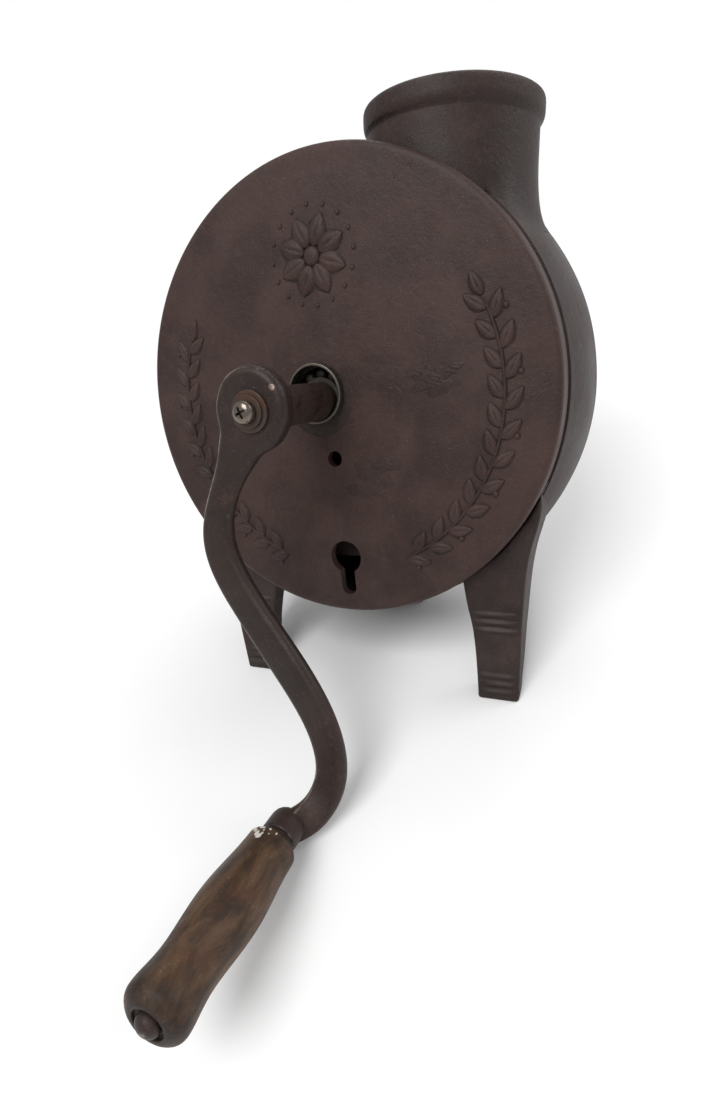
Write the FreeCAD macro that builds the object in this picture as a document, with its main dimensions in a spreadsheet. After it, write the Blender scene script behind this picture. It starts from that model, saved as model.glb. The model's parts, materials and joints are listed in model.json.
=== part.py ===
import FreeCAD, Part
import math
import os
import Sketcher

# Machine frame: X to the right of someone facing the cover, Y into the machine along the shaft, Z up.
# The origin is the middle of the cover's front face. The whole machine then leans back on its legs.

# Driving dimensions in millimetres and degrees
SIZES = {
    # Stance on the table
    "lean_angle": 25.0,
    "leg_drop": 165.1,
    # Front cover
    "cover_radius": 115.0,
    "cover_depth": 15.0,
    "cover_wall": 5.0,
    "cover_rim_wall": 5.0,
    "cover_edge_bevel": 2.0,
    "cover_boss_radius": 26.0,
    "cover_boss_depth": 9.0,
    "peephole_radius": 3.55,
    "peephole_drop": 30.0,
    "keyhole_radius": 9.0,
    "keyhole_inset": 31.5,
    "keyhole_slot_width": 8.6,
    "keyhole_slot_length": 21.5,
    # Screws that hold the cover from behind
    "screw_inset": 9.5,
    "screw_angle_right": 20.0,
    "screw_angle_top": 128.0,
    "screw_angle_left": 205.0,
    "screw_angle_foot": 335.0,
    "screw_radius": 2.4,
    "screw_fit": 0.1,
    "screw_boss_radius": 7.0,
    "screw_reach": 7.0,
    "screw_head_radius": 4.6,
    "screw_head_height": 3.2,
    "screw_seat_sink": 7.0,
    "screw_seat_clearance": 0.8,
    # Rear casing
    "casing_step": 1.0,
    "casing_belly": 5.5,
    "casing_belly_depth": 39.0,
    "casing_depth": 82.0,
    "casing_corner": 30.0,
    "casing_wall": 5.0,
    "cover_clearance": 0.4,
    # Feed throat
    "throat_across": 55.3,
    "throat_depth": 45.5,
    "throat_root_sink": 52.5,
    "throat_lean": 4.5,
    "throat_radius": 40.6,
    "throat_wall": 4.6,
    "throat_height": 59.6,
    "throat_bead_height": 11.0,
    "throat_bead_proud": 2.1,
    "throat_bead_bevel": 2.6,
    "throat_skirt_height": 48.0,
    "throat_skirt_spread": 13.4,
    "throat_skirt_swell": 2.6,
    # Front legs
    "leg_front": 11.0,
    "leg_thickness": 10.5,
    "leg_flange_width": 8.0,
    "leg_flange_depth": 23.0,
    "leg_shoulder_angle": 30.6,
    "leg_hip_inset": 5.7,
    "leg_hip_fall": 23.4,
    "leg_ankle_inset": 6.7,
    "leg_ankle_height": 37.1,
    "leg_toe_inset": 3.2,
    "leg_toe_width": 23.2,
    "leg_calf_height": 34.1,
    "leg_arch_angle": 61.1,
    "leg_arch_sink": 2.3,
    "leg_shoulder_round": 42.0,
    "leg_hip_round": 340.0,
    "leg_arch_round": 54.0,
    "leg_ridge_radius": 1.5,
    "leg_ridge_height": 49.4,
    "leg_ridge_pitch": 4.5,
    "leg_toe_ridge_height": 14.5,
    # Rear leg
    "rear_leg_thickness": 10.0,
    "rear_leg_front": 72.0,
    "rear_leg_back": 132.0,
    "rear_leg_top": 52.0,
    "rear_leg_curve": 62.0,
    "sole_width": 28.0,
    "sole_thickness": 7.0,
    "sole_hole_radius": 3.5,
    "sole_hole_inset": 13.0,
    # Openings under the drum
    "cob_chute_near": 18.0,
    "cob_chute_far": 78.0,
    "kernel_chute_near": 33.0,
    "kernel_chute_far": 72.0,
    "chute_front": 28.0,
    "cob_chute_back": 86.0,
    "kernel_chute_back": 52.0,
    # Shaft
    "shaft_offset": 5.0,
    "shaft_radius": 9.5,
    "running_fit": 0.02,
    "crank_standoff": 51.0,
    "square_flats": 12.6,
    "square_fit": 0.15,
    "square_short": 0.5,
    "shaft_collar_radius": 11.5,
    "shaft_collar_width": 1.6,
    "shaft_thread_radius": 8.0,
    "shaft_tail": 10.5,
    # Ball bearings
    "ball_radius": 3.1,
    "ball_circle": 13.4,
    "race_play": 0.1,
    "cup_radius": 18.0,
    "cup_bore": 14.9,
    "cup_lip": 6.0,
    "cup_lip_bore": 16.7,
    "cup_reach": 6.0,
    "cone_radius": 11.7,
    "cone_width": 9.0,
    "front_ball_depth": 6.0,
    "rear_ball_inset": 1.0,
    "rear_boss_radius": 26.0,
    "rear_boss_inset": 8.0,
    "rear_boss_proud": 6.0,
    "lock_washer_radius": 13.0,
    "lock_washer_thickness": 1.5,
    "lock_nut_radius": 13.5,
    "lock_nut_height": 7.0,
    "seat_gap": 0.1,
    # Picker wheel
    "wheel_radius": 88.0,
    "wheel_nose_radius": 12.0,
    "wheel_nose_length": 1.7,
    "wheel_hub_radius": 17.0,
    "wheel_plate_setback": 5.5,
    "wheel_plate_thickness": 6.0,
    "wheel_boss_radius": 13.5,
    "wheel_boss_length": 21.0,
    "rib_width": 7.0,
    "rib_height": 13.0,
    "rib_sweep": 24.0,
    "rib_inset": 3.0,
    "notch_depth": 7.0,
    "notch_width": 9.0,
    "notch_pitch": 11.0,
    "notch_first_radius": 19.0,
    "wheel_pin_radius": 2.2,
    "wheel_pin_inset": 3.8,
    # Pressure plate and its pivot
    "plate_across": 52.0,
    "plate_width": 36.0,
    "plate_thickness": 6.0,
    "plate_length": 88.0,
    "plate_rest_tilt": 12.0,
    "plate_pivot_height": 48.0,
    "plate_pivot_inset": 8.5,
    "plate_eye_radius": 6.0,
    "plate_rib_width": 3.0,
    "plate_rib_height": 2.4,
    "plate_rib_pitch": 8.0,
    "pivot_pin_radius": 2.5,
    "pivot_fit": 0.06,
    "pivot_pin_head": 4.0,
    "pivot_pin_head_length": 2.0,
    "lug_width": 6.7,
    "lug_height": 12.0,
    "lug_reach": 6.0,
    "side_gap": 0.3,
    # Spring plunger
    "plunger_height": -8.0,
    "plunger_rod_radius": 3.0,
    "plunger_nub_length": 3.0,
    "plunger_head_radius": 7.5,
    "plunger_head_thickness": 3.0,
    "plunger_tail": 5.5,
    "barrel_radius": 13.0,
    "barrel_bore": 9.8,
    "barrel_length": 15.0,
    "adjuster_fit": 0.05,
    "adjuster_reach": 8.0,
    "adjuster_stand": 6.0,
    "adjuster_head_radius": 12.0,
    "adjuster_head_length": 6.0,
    "adjuster_lock_nut_radius": 14.5,
    "adjuster_lock_nut_height": 5.0,
    "stop_nut_radius": 5.6,
    "stop_nut_height": 4.0,
    "spring_radius": 7.0,
    "spring_wire_radius": 0.75,
    # Crank
    "hub_radius": 18.3,
    "hub_thickness": 10.0,
    "hub_edge_bevel": 1.8,
    "arm_thickness": 9.0,
    "arm_edge_round": 2.4,
    "arm_root_drop": 8.5,
    "arm_root_swing": -4.9,
    "arm_root_width": 24.4,
    "arm_shoulder_drop": 27.0,
    "arm_shoulder_swing": -19.5,
    "arm_shoulder_width": 14.8,
    "arm_upper_drop": 60.0,
    "arm_upper_swing": -32.0,
    "arm_upper_width": 15.0,
    "arm_waist_drop": 92.0,
    "arm_waist_swing": -19.5,
    "arm_waist_width": 16.1,
    "arm_waist_sweep": 1.0,
    "arm_knee_drop": 121.0,
    "arm_knee_swing": 1.2,
    "arm_knee_width": 16.2,
    "arm_knee_sweep": 4.0,
    "arm_lower_rise": 32.7,
    "arm_lower_aside": 18.4,
    "arm_lower_width": 13.6,
    "arm_lower_setback": 23.0,
    "arm_toe_rise": 13.2,
    "arm_toe_aside": 15.7,
    "arm_toe_width": 13.8,
    "arm_toe_setback": 20.0,
    "arm_turn_rise": 1.7,
    "arm_turn_aside": 7.2,
    "arm_turn_width": 15.4,
    "arm_turn_setback": 11.5,
    "crank_reach": 194.2,
    "crank_aside": 1.9,
    "end_boss_radius": 9.0,
    "end_boss_length": 7.0,
    "end_boss_sweep": 31.0,
    # Hub screw and washers
    "large_washer_radius": 8.4,
    "small_washer_radius": 6.6,
    "washer_thickness": 1.5,
    "washer_hole_radius": 2.8,
    "hub_screw_radius": 2.5,
    "hub_screw_length": 14.0,
    "hub_screw_head_radius": 4.8,
    "hub_screw_head_height": 4.0,
    # Wooden grip and its spindle
    "grip_turn_aside": 2.6,
    "grip_turn_down": 2.3,
    "grip_length": 88.0,
    "grip_end_radius": 12.1,
    "grip_shoulder_radius": 12.6,
    "grip_shoulder_at": 14.0,
    "grip_belly_radius": 14.3,
    "grip_belly_at": 37.0,
    "grip_waist_radius": 12.6,
    "grip_waist_at": 65.0,
    "grip_knob_radius": 13.8,
    "grip_knob_at": 80.0,
    "grip_nose_radius": 11.4,
    "grip_nose_at": 86.0,
    "grip_tip_radius": 8.4,
    "grip_recess_radius": 7.0,
    "grip_recess_depth": 3.0,
    "grip_fit": 0.08,
    "grip_washer_radius": 8.0,
    "grip_washer_thickness": 1.0,
    "spindle_radius": 3.9,
    "spindle_head_radius": 5.4,
    "spindle_head_height": 4.0,
    "spindle_tail_length": 12.0,
}

BALL_COUNT = 12
BALL_SIDES = 8
RIB_COUNT = 8
NOTCH_COUNT = 6
PLATE_RIB_COUNT = 4
RIDGE_COUNT = 3
SPRING_TURNS = 5
WIRE_SIDES = 6
SCREW_PLACES = ["right", "top", "left", "foot"]
FLAT_STATIONS = ["root", "shoulder", "upper"]
SWEPT_STATIONS = ["waist", "knee"]
BOSS_STATIONS = ["lower", "toe", "turn"]
BOSS_COVER = 1.9

V = FreeCAD.Vector
ALONG_Y = FreeCAD.Rotation(V(1, 0, 0), -90)
ALONG_X = FreeCAD.Rotation(V(0, 1, 0), 90)
ALONG_Z = FreeCAD.Rotation()


class Size:
    """A size with its value and with its formula in the sheet's words."""

    def __init__(self, value, formula=None):
        self.value = float(value)
        self.formula = formula or f"({self.value})"

    def joined(self, other, sign, value):
        """Return this size joined to another by an arithmetic sign."""
        return Size(value, f"({self.formula} {sign} {as_size(other).formula})")

    def __add__(self, other):
        return self.joined(other, "+", self.value + as_size(other).value)

    def __sub__(self, other):
        return self.joined(other, "-", self.value - as_size(other).value)

    def __mul__(self, other):
        return self.joined(other, "*", self.value * as_size(other).value)

    def __truediv__(self, other):
        return self.joined(other, "/", self.value / as_size(other).value)

    def __radd__(self, other):
        return as_size(other) + self

    def __rsub__(self, other):
        return as_size(other) - self

    def __rmul__(self, other):
        return as_size(other) * self

    def __neg__(self):
        return Size(-self.value, f"(-1 * {self.formula})")


def as_size(number):
    """Return a plain number as a size, and a size as it is."""
    if isinstance(number, Size):
        return number
    return Size(number)


def cosine(angle):
    """Return the cosine of an angle in degrees, as a size."""
    return Size(math.cos(math.radians(angle.value)), f"cos({angle.formula})")


def sine(angle):
    """Return the sine of an angle in degrees, as a size."""
    return Size(math.sin(math.radians(angle.value)), f"sin({angle.formula})")


def tangent(angle):
    """Return the tangent of an angle in degrees, as a size."""
    return Size(math.tan(math.radians(angle.value)), f"tan({angle.formula})")


class Sheet:
    """The sheet of driving dimensions, each one an attribute."""

    def __init__(self, doc, table):
        cells = doc.addObject("Spreadsheet::Sheet", "Sizes")
        for row, (name, value) in enumerate(table.items(), start=1):
            cells.set(f"A{row}", name)
            cells.set(f"B{row}", str(value))
            cells.setAlias(f"B{row}", name)
        doc.recompute()
        for name in table:
            setattr(self, name, Size(cells.get(name), f"Sizes.{name}"))


doc = FreeCAD.newDocument("CornSheller")
S = Sheet(doc, SIZES)

# Places that several pieces share
back_face = S.cover_depth + S.casing_depth
cover_inside = S.cover_wall
bore_radius = S.cup_radius + S.running_fit
ball_groove = S.ball_radius + S.race_play
front_cone_back = S.front_ball_depth + S.cone_width / 2
wheel_nose = front_cone_back + S.seat_gap
wheel_hub_front = wheel_nose + S.wheel_nose_length
wheel_plate_front = wheel_hub_front + S.wheel_plate_setback
wheel_plate_back = wheel_plate_front + S.wheel_plate_thickness
wheel_back = wheel_plate_back + S.wheel_boss_length
rear_ball_depth = back_face - S.rear_ball_inset
rear_cone_front = rear_ball_depth - S.cone_width / 2
rear_cone_back = rear_ball_depth + S.cone_width / 2
hub_back = -S.crank_standoff
hub_front = hub_back - S.hub_thickness
screw_seat = back_face - S.screw_seat_sink
plate_pivot_depth = back_face - S.casing_wall - S.plate_pivot_inset
barrel_end = back_face + S.barrel_length
boss_face = hub_front - S.end_boss_sweep
grip_near = boss_face - S.grip_washer_thickness - S.seat_gap
throat_bore = S.throat_radius - S.throat_wall
casing_front_radius = S.cover_radius + S.casing_step
casing_radius = casing_front_radius + S.casing_belly


def table_drop(depth):
    """Return how far the table lies below the shaft's line at a depth in the machine."""
    return S.leg_drop - tangent(S.lean_angle) * (depth - S.leg_front)


def lean_back():
    """Return the turn and lift from the machine frame to the one that stands on the table."""
    lean = math.radians(S.lean_angle.value)
    lift = S.leg_front.value * math.sin(lean) + S.leg_drop.value * math.cos(lean)
    return FreeCAD.Placement(V(0, 0, lift), FreeCAD.Rotation(V(1, 0, 0), -S.lean_angle.value))


def shift(x=0, y=0, z=0):
    """Return a move without a turn, from sizes or numbers."""
    return FreeCAD.Placement(V(as_size(x).value, as_size(y).value, as_size(z).value), FreeCAD.Rotation())


STAND = lean_back()
AT_SHAFT = shift(x=-S.shaft_offset)


def boss_turn():
    """Carry the shaft's line to the grip's, which leaves the end boss a few degrees to the right and down."""
    there = shift(x=S.crank_aside, y=boss_face, z=-S.crank_reach)
    aside = FreeCAD.Rotation(V(0, 0, 1), S.grip_turn_aside.value)
    down = FreeCAD.Rotation(V(1, 0, 0), S.grip_turn_down.value)
    return there.multiply(FreeCAD.Placement(V(0, 0, 0), aside.multiply(down))).multiply(shift(y=-boss_face))


BOSS_LINE = boss_turn()
AT_GRIP = AT_SHAFT.multiply(BOSS_LINE)

nodes = {}


def hand_over(label, thing, local=None):
    """Name a finished piece and stand it in the leaning machine."""
    thing.Label = label
    thing.Placement = STAND.multiply(local or FreeCAD.Placement())
    nodes[label] = thing
    return thing


def bind(thing, path, size):
    """Tie a property to a formula of the sheet's sizes."""
    thing.setExpression(path, as_size(size).formula)


# Sketches

def new_body(name):
    """Start a body in the machine frame."""
    return doc.addObject("PartDesign::Body", name)


def sketch_on(body, role, name, offset=(0, 0, 0), flipped=False):
    """Draw on one of the body's own planes, turned face down where its second axis runs downwards."""
    plane = next(item for item in body.Origin.OriginFeatures if item.Role == role)
    sketch = body.newObject("Sketcher::SketchObject", name)
    sketch.AttachmentSupport = [(plane, "")]
    sketch.MapMode = "FlatFace"
    turn = FreeCAD.Rotation(V(1, 0, 0), 180 if flipped else 0)
    sketch.AttachmentOffset = FreeCAD.Placement(V(0, 0, 0), turn)
    for axis, size in zip("xyz", offset):
        bind(sketch, f"AttachmentOffset.Base.{axis}", size)
    return sketch


def front_sketch(body, name, depth, across=0, height=0):
    """Draw on a plane that faces the crank at a depth, with across to the right and along downwards."""
    return sketch_on(body, "XZ_Plane", name, (across, height, -as_size(depth)), flipped=True)


def pin_point(sketch, geometry, end, across, along):
    """Hold a point of a sketch at two sizes from the sketch's axes."""
    for axis, line, size in (("DistanceX", -2, across), ("DistanceY", -1, along)):
        if isinstance(size, Size):
            index = sketch.addConstraint(Sketcher.Constraint(axis, -1, 1, geometry, end, size.value))
            bind(sketch, f"Constraints[{index}]", size)
        else:
            sketch.addConstraint(Sketcher.Constraint("PointOnObject", geometry, end, line))


def arc_between(start, stop, radius):
    """Return the short arc between two points, to the left of the way for a radius above zero."""
    way = stop - start
    half = way.Length / 2
    side = 1 if radius > 0 else -1
    height = math.sqrt(radius * radius - half * half)
    centre = (start + stop) / 2 + V(-way.y, way.x, 0).normalize() * height * side
    first, last = (start, stop) if radius > 0 else (stop, start)
    low = math.atan2(first.y - centre.y, first.x - centre.x)
    high = math.atan2(last.y - centre.y, last.x - centre.x)
    if high < low:
        high += 2 * math.pi
    return Part.ArcOfCircle(Part.Circle(centre, V(0, 0, 1), abs(radius)), low, high)


def draw_outline(sketch, corners, arcs=None):
    """Draw a closed outline through pinned corners, straight or with an arc after the numbered ones."""
    arcs = arcs or {}
    points = [V(as_size(a).value, as_size(b).value, 0) for a, b in corners]
    count = len(corners)
    ends = []
    first = sketch.GeometryCount
    for index, start in enumerate(points):
        stop = points[(index + 1) % count]
        if index in arcs:
            sketch.addGeometry(arc_between(start, stop, arcs[index].value), False)
            ends.append((1, 2) if arcs[index].value > 0 else (2, 1))
        else:
            sketch.addGeometry(Part.LineSegment(start, stop), False)
            ends.append((1, 2))
    for index, (across, along) in enumerate(corners):
        before = (index - 1) % count
        joint = ("Coincident", first + before, ends[before][1], first + index, ends[index][0])
        sketch.addConstraint(Sketcher.Constraint(*joint))
        pin_point(sketch, first + index, ends[index][0], across, along)
    for index, radius in arcs.items():
        length = radius if radius.value > 0 else -radius
        number = sketch.addConstraint(Sketcher.Constraint("Radius", first + index, length.value))
        bind(sketch, f"Constraints[{number}]", length)


def draw_circle(sketch, radius, across=0, along=0):
    """Draw a circle of a radius about a point."""
    centre = V(as_size(across).value, as_size(along).value, 0)
    index = sketch.addGeometry(Part.Circle(centre, V(0, 0, 1), as_size(radius).value), False)
    pin_point(sketch, index, 3, across, along)
    number = sketch.addConstraint(Sketcher.Constraint("Radius", index, as_size(radius).value))
    bind(sketch, f"Constraints[{number}]", radius)


# Features of a body

def revolve(body, corners, arcs=None, name="Turned"):
    """Turn an outline of radius and depth about the machine's Y axis."""
    sketch = sketch_on(body, "XY_Plane", name + "Outline")
    draw_outline(sketch, corners, arcs)
    feature = body.newObject("PartDesign::Revolution", name)
    feature.Profile = sketch
    feature.ReferenceAxis = (sketch, ["V_Axis"])
    feature.Angle = 360
    doc.recompute()
    return feature


def pad(body, sketch, length, name, centred=False):
    """Raise a sketch along its normal."""
    feature = body.newObject("PartDesign::Pad", name)
    feature.Profile = sketch
    feature.Midplane = centred
    bind(feature, "Length", length)
    doc.recompute()
    return feature


def check_cut(body, volume, name):
    """Stop if a cut took nothing away."""
    doc.recompute()
    if body.Shape.Volume >= volume - 1e-6:
        raise RuntimeError(f"{name} cuts nothing")


def pocket(body, sketch, length, name, centred=False):
    """Sink a sketch against its normal."""
    doc.recompute()
    volume = body.Shape.Volume
    feature = body.newObject("PartDesign::Pocket", name)
    feature.Profile = sketch
    feature.Midplane = centred
    bind(feature, "Length", length)
    check_cut(body, volume, name)
    return feature


def groove(body, sketch, name):
    """Cut a sketch of radius and depth right round the Y axis."""
    doc.recompute()
    volume = body.Shape.Volume
    feature = body.newObject("PartDesign::Groove", name)
    feature.Profile = sketch
    feature.ReferenceAxis = (sketch, ["V_Axis"])
    feature.Angle = 360
    check_cut(body, volume, name)
    return feature


def ring_body(name, inner, outer, near, far):
    """Make a plain turned ring between two radii and two depths."""
    body = new_body(name)
    revolve(body, [(inner, near), (outer, near), (outer, far), (inner, far)])
    return body


# Plain solids and their sums

def cylinder(name, radius, length, at, turn=ALONG_Y):
    """Make a cylinder from a point along one of the machine's axes."""
    thing = doc.addObject("Part::Cylinder", name)
    bind(thing, "Radius", radius)
    bind(thing, "Height", length)
    set_base(thing, at, turn)
    return thing


def box(name, spans, corner, turn=ALONG_Z):
    """Make a box from its lowest corner."""
    thing = doc.addObject("Part::Box", name)
    for side, span in zip(("Length", "Width", "Height"), spans):
        bind(thing, side, span)
    set_base(thing, corner, turn)
    return thing


def hexagon(name, radius, length, depth):
    """Make a six-sided bar along Y about the machine's axis."""
    thing = doc.addObject("Part::Prism", name)
    thing.Polygon = 6
    bind(thing, "Circumradius", radius)
    bind(thing, "Height", length)
    set_base(thing, (0, depth, 0), ALONG_Y)
    return thing


def set_base(thing, at, turn):
    """Turn a solid and tie its place to the sheet."""
    thing.Placement = FreeCAD.Placement(V(0, 0, 0), turn)
    for axis, size in zip("xyz", at):
        bind(thing, f"Placement.Base.{axis}", size)


def fuse(name, parts):
    """Join solids into one."""
    thing = doc.addObject("Part::MultiFuse", name)
    thing.Shapes = parts
    return thing


def common(name, base, tool):
    """Keep what two solids share."""
    thing = doc.addObject("Part::Common", name)
    thing.Base = base
    thing.Tool = tool
    return thing


def cut(name, base, tool):
    """Take one solid away from another."""
    thing = doc.addObject("Part::Cut", name)
    thing.Base = base
    thing.Tool = tool
    return thing


def gather(name, parts):
    """Keep separate solids together in one piece's file."""
    thing = doc.addObject("Part::Compound", name)
    thing.Links = parts
    return thing


# Housing

def screw_angle(place):
    """Return the angle of one cover screw, from the right and upwards."""
    return getattr(S, f"screw_angle_{place}")


def screw_point(place):
    """Return how far across and how high one cover screw stands."""
    angle = screw_angle(place)
    circle = S.cover_radius - S.screw_inset
    return circle * cosine(angle), circle * sine(angle)


def make_front_cover():
    """Round shallow cover with the bearing boss, screw bosses, peephole and keyhole."""
    body = new_body("FrontCover")
    rim_inside = S.cover_radius - S.cover_rim_wall
    outline = [
        (0, 0),
        (S.cover_radius - S.cover_edge_bevel, 0),
        (S.cover_radius, S.cover_edge_bevel),
        (S.cover_radius, S.cover_depth),
        (rim_inside, S.cover_depth),
        (rim_inside, cover_inside),
        (0, cover_inside),
    ]
    revolve(body, outline, name="Dish")
    boss = front_sketch(body, "BearingBossCircle", cover_inside, across=-S.shaft_offset)
    draw_circle(boss, S.cover_boss_radius)
    pad(body, boss, S.cover_boss_depth, "BearingBoss")
    bosses = front_sketch(body, "ScrewBossCircles", cover_inside)
    for place in SCREW_PLACES:
        across, height = screw_point(place)
        draw_circle(bosses, S.screw_boss_radius, across, -height)
    pad(body, bosses, S.cover_depth - cover_inside, "ScrewBosses")
    bore = front_sketch(body, "BearingBoreCircle", S.cover_depth, across=-S.shaft_offset)
    draw_circle(bore, bore_radius)
    pocket(body, bore, S.cover_depth * 2, "BearingBore")
    holes = front_sketch(body, "ScrewHoleCircles", S.cover_depth)
    for place in SCREW_PLACES:
        across, height = screw_point(place)
        draw_circle(holes, S.screw_radius + S.screw_fit, across, -height)
    pocket(body, holes, S.screw_reach + S.seat_gap, "ScrewHoles")
    peephole = front_sketch(body, "PeepholeCircle", S.cover_depth)
    draw_circle(peephole, S.peephole_radius, 0, S.peephole_drop)
    pocket(body, peephole, S.cover_depth * 2, "Peephole")
    half_slot = S.keyhole_slot_width / 2
    keyhole_drop = S.cover_radius - S.keyhole_inset
    slot_end = keyhole_drop + S.keyhole_slot_length
    eye = front_sketch(body, "KeyholeEyeCircle", S.cover_depth)
    draw_circle(eye, S.keyhole_radius, 0, keyhole_drop)
    pocket(body, eye, S.cover_depth * 2, "KeyholeEye")
    slot = front_sketch(body, "KeyholeSlotOutline", S.cover_depth)
    corners = [
        (-half_slot, keyhole_drop),
        (half_slot, keyhole_drop),
        (half_slot, slot_end - half_slot),
        (-half_slot, slot_end - half_slot),
    ]
    draw_outline(slot, corners, {2: half_slot * 1.01})
    pocket(body, slot, S.cover_depth * 2, "KeyholeSlot")
    hand_over("front_cover", body)


def drum_body(name, inset, near):
    """Turned solid of the drum's outline, or of its hollow when it is set in by the wall."""
    body = new_body(name)
    belly_radius = (S.casing_belly * S.casing_belly + S.casing_belly_depth * S.casing_belly_depth)
    belly_radius = belly_radius / (S.casing_belly * 2)
    front_radius = casing_front_radius - inset
    side_radius = casing_radius - inset
    back = back_face - inset
    outline = [
        (0, near),
        (front_radius, near),
        (front_radius, S.cover_depth),
        (side_radius, S.cover_depth + S.casing_belly_depth),
        (side_radius, back_face - S.casing_corner),
        (side_radius - (S.casing_corner - inset), back),
        (0, back),
    ]
    arcs = {2: belly_radius, 4: S.casing_corner - inset}
    if near is S.cover_depth:
        outline.pop(1)
        arcs = {1: belly_radius, 3: S.casing_corner}
    revolve(body, outline, arcs)
    return body


def throat_placement():
    """Return the throat's own frame, with Y up along its axis."""
    base = V(S.throat_across.value, S.throat_depth.value, (casing_radius - S.throat_root_sink).value)
    lean = FreeCAD.Rotation(V(0, 1, 0), S.throat_lean.value)
    return FreeCAD.Placement(base, lean.multiply(FreeCAD.Rotation(V(1, 0, 0), 90)))


def make_throat():
    """Feed throat with its rolled rim and the skirt that spreads onto the drum."""
    body = new_body("ThroatWall")
    top = S.throat_height
    bead_foot = top - S.throat_bead_height
    bead_radius = S.throat_radius + S.throat_bead_proud
    outline = [
        (0, -S.throat_skirt_spread),
        (S.throat_radius, -S.throat_skirt_spread),
        (S.throat_radius, bead_foot),
        (bead_radius, bead_foot + S.throat_bead_proud),
        (bead_radius, top - S.throat_bead_bevel),
        (bead_radius - S.throat_bead_bevel, top),
        (0, top),
    ]
    revolve(body, outline)
    body.Placement = throat_placement()
    skirt = doc.addObject("Part::Loft", "ThroatSkirt")
    rings = []
    spreads = [(1.0, -0.10, -0.60), (0.62, 0.05, 0.05), (0.30, 0.36, 0.42), (0.0, 1.0, 1.0)]
    for number, (rise, across, swell) in enumerate(spreads):
        ring = doc.addObject("Part::Ellipse", f"SkirtRing{number}")
        bind(ring, "MajorRadius", S.throat_radius + S.throat_skirt_spread * across)
        bind(ring, "MinorRadius", S.throat_radius + S.throat_skirt_swell * swell)
        height = (S.throat_skirt_height.value + S.throat_skirt_spread.value) * rise
        height -= S.throat_skirt_spread.value
        local = FreeCAD.Placement(V(0, height, 0), FreeCAD.Rotation(V(1, 0, 0), -90))
        ring.Placement = throat_placement().multiply(local)
        rings.append(ring)
    skirt.Sections = rings
    skirt.Solid = True
    skirt.Ruled = False
    bore = doc.addObject("Part::Cylinder", "ThroatBore")
    bind(bore, "Radius", throat_bore)
    bind(bore, "Height", S.throat_height * 2)
    bore.Placement = throat_placement().multiply(FreeCAD.Placement(V(0, 0, 0), ALONG_Y))
    return body, skirt, bore


def make_front_leg():
    """Right front leg: a tapering plate with a deep outer flange and two sets of ridges."""
    below = S.leg_drop + S.leg_thickness
    shoulder_across = casing_radius * cosine(S.leg_shoulder_angle)
    shoulder_drop = casing_radius * sine(S.leg_shoulder_angle)
    hip_across = shoulder_across - S.leg_hip_inset
    hip_drop = shoulder_drop + S.leg_hip_fall
    ankle_across = hip_across - S.leg_ankle_inset
    ankle_drop = S.leg_drop - S.leg_ankle_height
    toe_across = ankle_across - S.leg_toe_inset
    heel_across = toe_across - S.leg_toe_width
    arch_radius = casing_radius - S.leg_arch_sink
    arch_across = arch_radius * cosine(S.leg_arch_angle)
    arch_drop = arch_radius * sine(S.leg_arch_angle)
    outer = [
        (shoulder_across, shoulder_drop),
        (hip_across, hip_drop),
        (ankle_across, ankle_drop),
        (toe_across, below),
    ]
    root = (shoulder_across - S.casing_wall / 2, shoulder_drop - S.casing_corner / 2)
    plate = new_body("LegPlate")
    sketch = front_sketch(plate, "LegPlateOutline", S.leg_front)
    corners = [root] + outer + [
        (heel_across, below),
        (heel_across, S.leg_drop - S.leg_calf_height),
        (arch_across, arch_drop),
        (arch_across - S.casing_wall, arch_drop - S.casing_wall * 3),
    ]
    arcs = {1: S.leg_shoulder_round, 2: -S.leg_hip_round, 6: S.leg_arch_round}
    draw_outline(sketch, corners, arcs)
    pad(plate, sketch, S.leg_thickness, "LegPlatePad")
    flange = new_body("LegFlange")
    sketch = front_sketch(flange, "LegFlangeOutline", S.leg_front)
    inner = [(across - S.leg_flange_width, drop) for across, drop in reversed([root] + outer)]
    draw_outline(sketch, [root] + outer + inner, {1: S.leg_shoulder_round, 2: -S.leg_hip_round})
    pad(flange, sketch, S.leg_flange_depth, "LegFlangePad")
    taper = new_body("LegTaper")
    sketch = sketch_on(taper, "YZ_Plane", "LegTaperOutline", flipped=True)
    flange_back = S.leg_front + S.leg_flange_depth
    corners = [
        (S.leg_front - S.leg_thickness, 0),
        (flange_back, 0),
        (flange_back, hip_drop),
        (S.leg_front + S.leg_thickness, S.leg_drop),
        (S.leg_front + S.leg_thickness, below),
        (S.leg_front - S.leg_thickness, below),
    ]
    draw_outline(sketch, corners)
    pad(taper, sketch, casing_radius * 2, "LegTaperPad", centred=True)
    pieces = [plate, common("TaperedFlange", flange, taper)]
    ridge_near = heel_across + S.leg_ridge_radius
    for set_name, height in (("Upper", S.leg_ridge_height), ("Toe", S.leg_toe_ridge_height)):
        for number in range(RIDGE_COUNT):
            drop = S.leg_drop - height + S.leg_ridge_pitch * number
            lean_in = (drop - ankle_drop) / (below - ankle_drop)
            edge = ankle_across + (toe_across - ankle_across) * lean_in
            length = edge - ridge_near - S.leg_ridge_radius
            place = (ridge_near, S.leg_front + S.leg_ridge_radius / 3, -drop)
            name = f"{set_name}Ridge{number}"
            pieces.append(cylinder(name, S.leg_ridge_radius, length, place, ALONG_X))
    return fuse("RightLeg", pieces)


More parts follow.
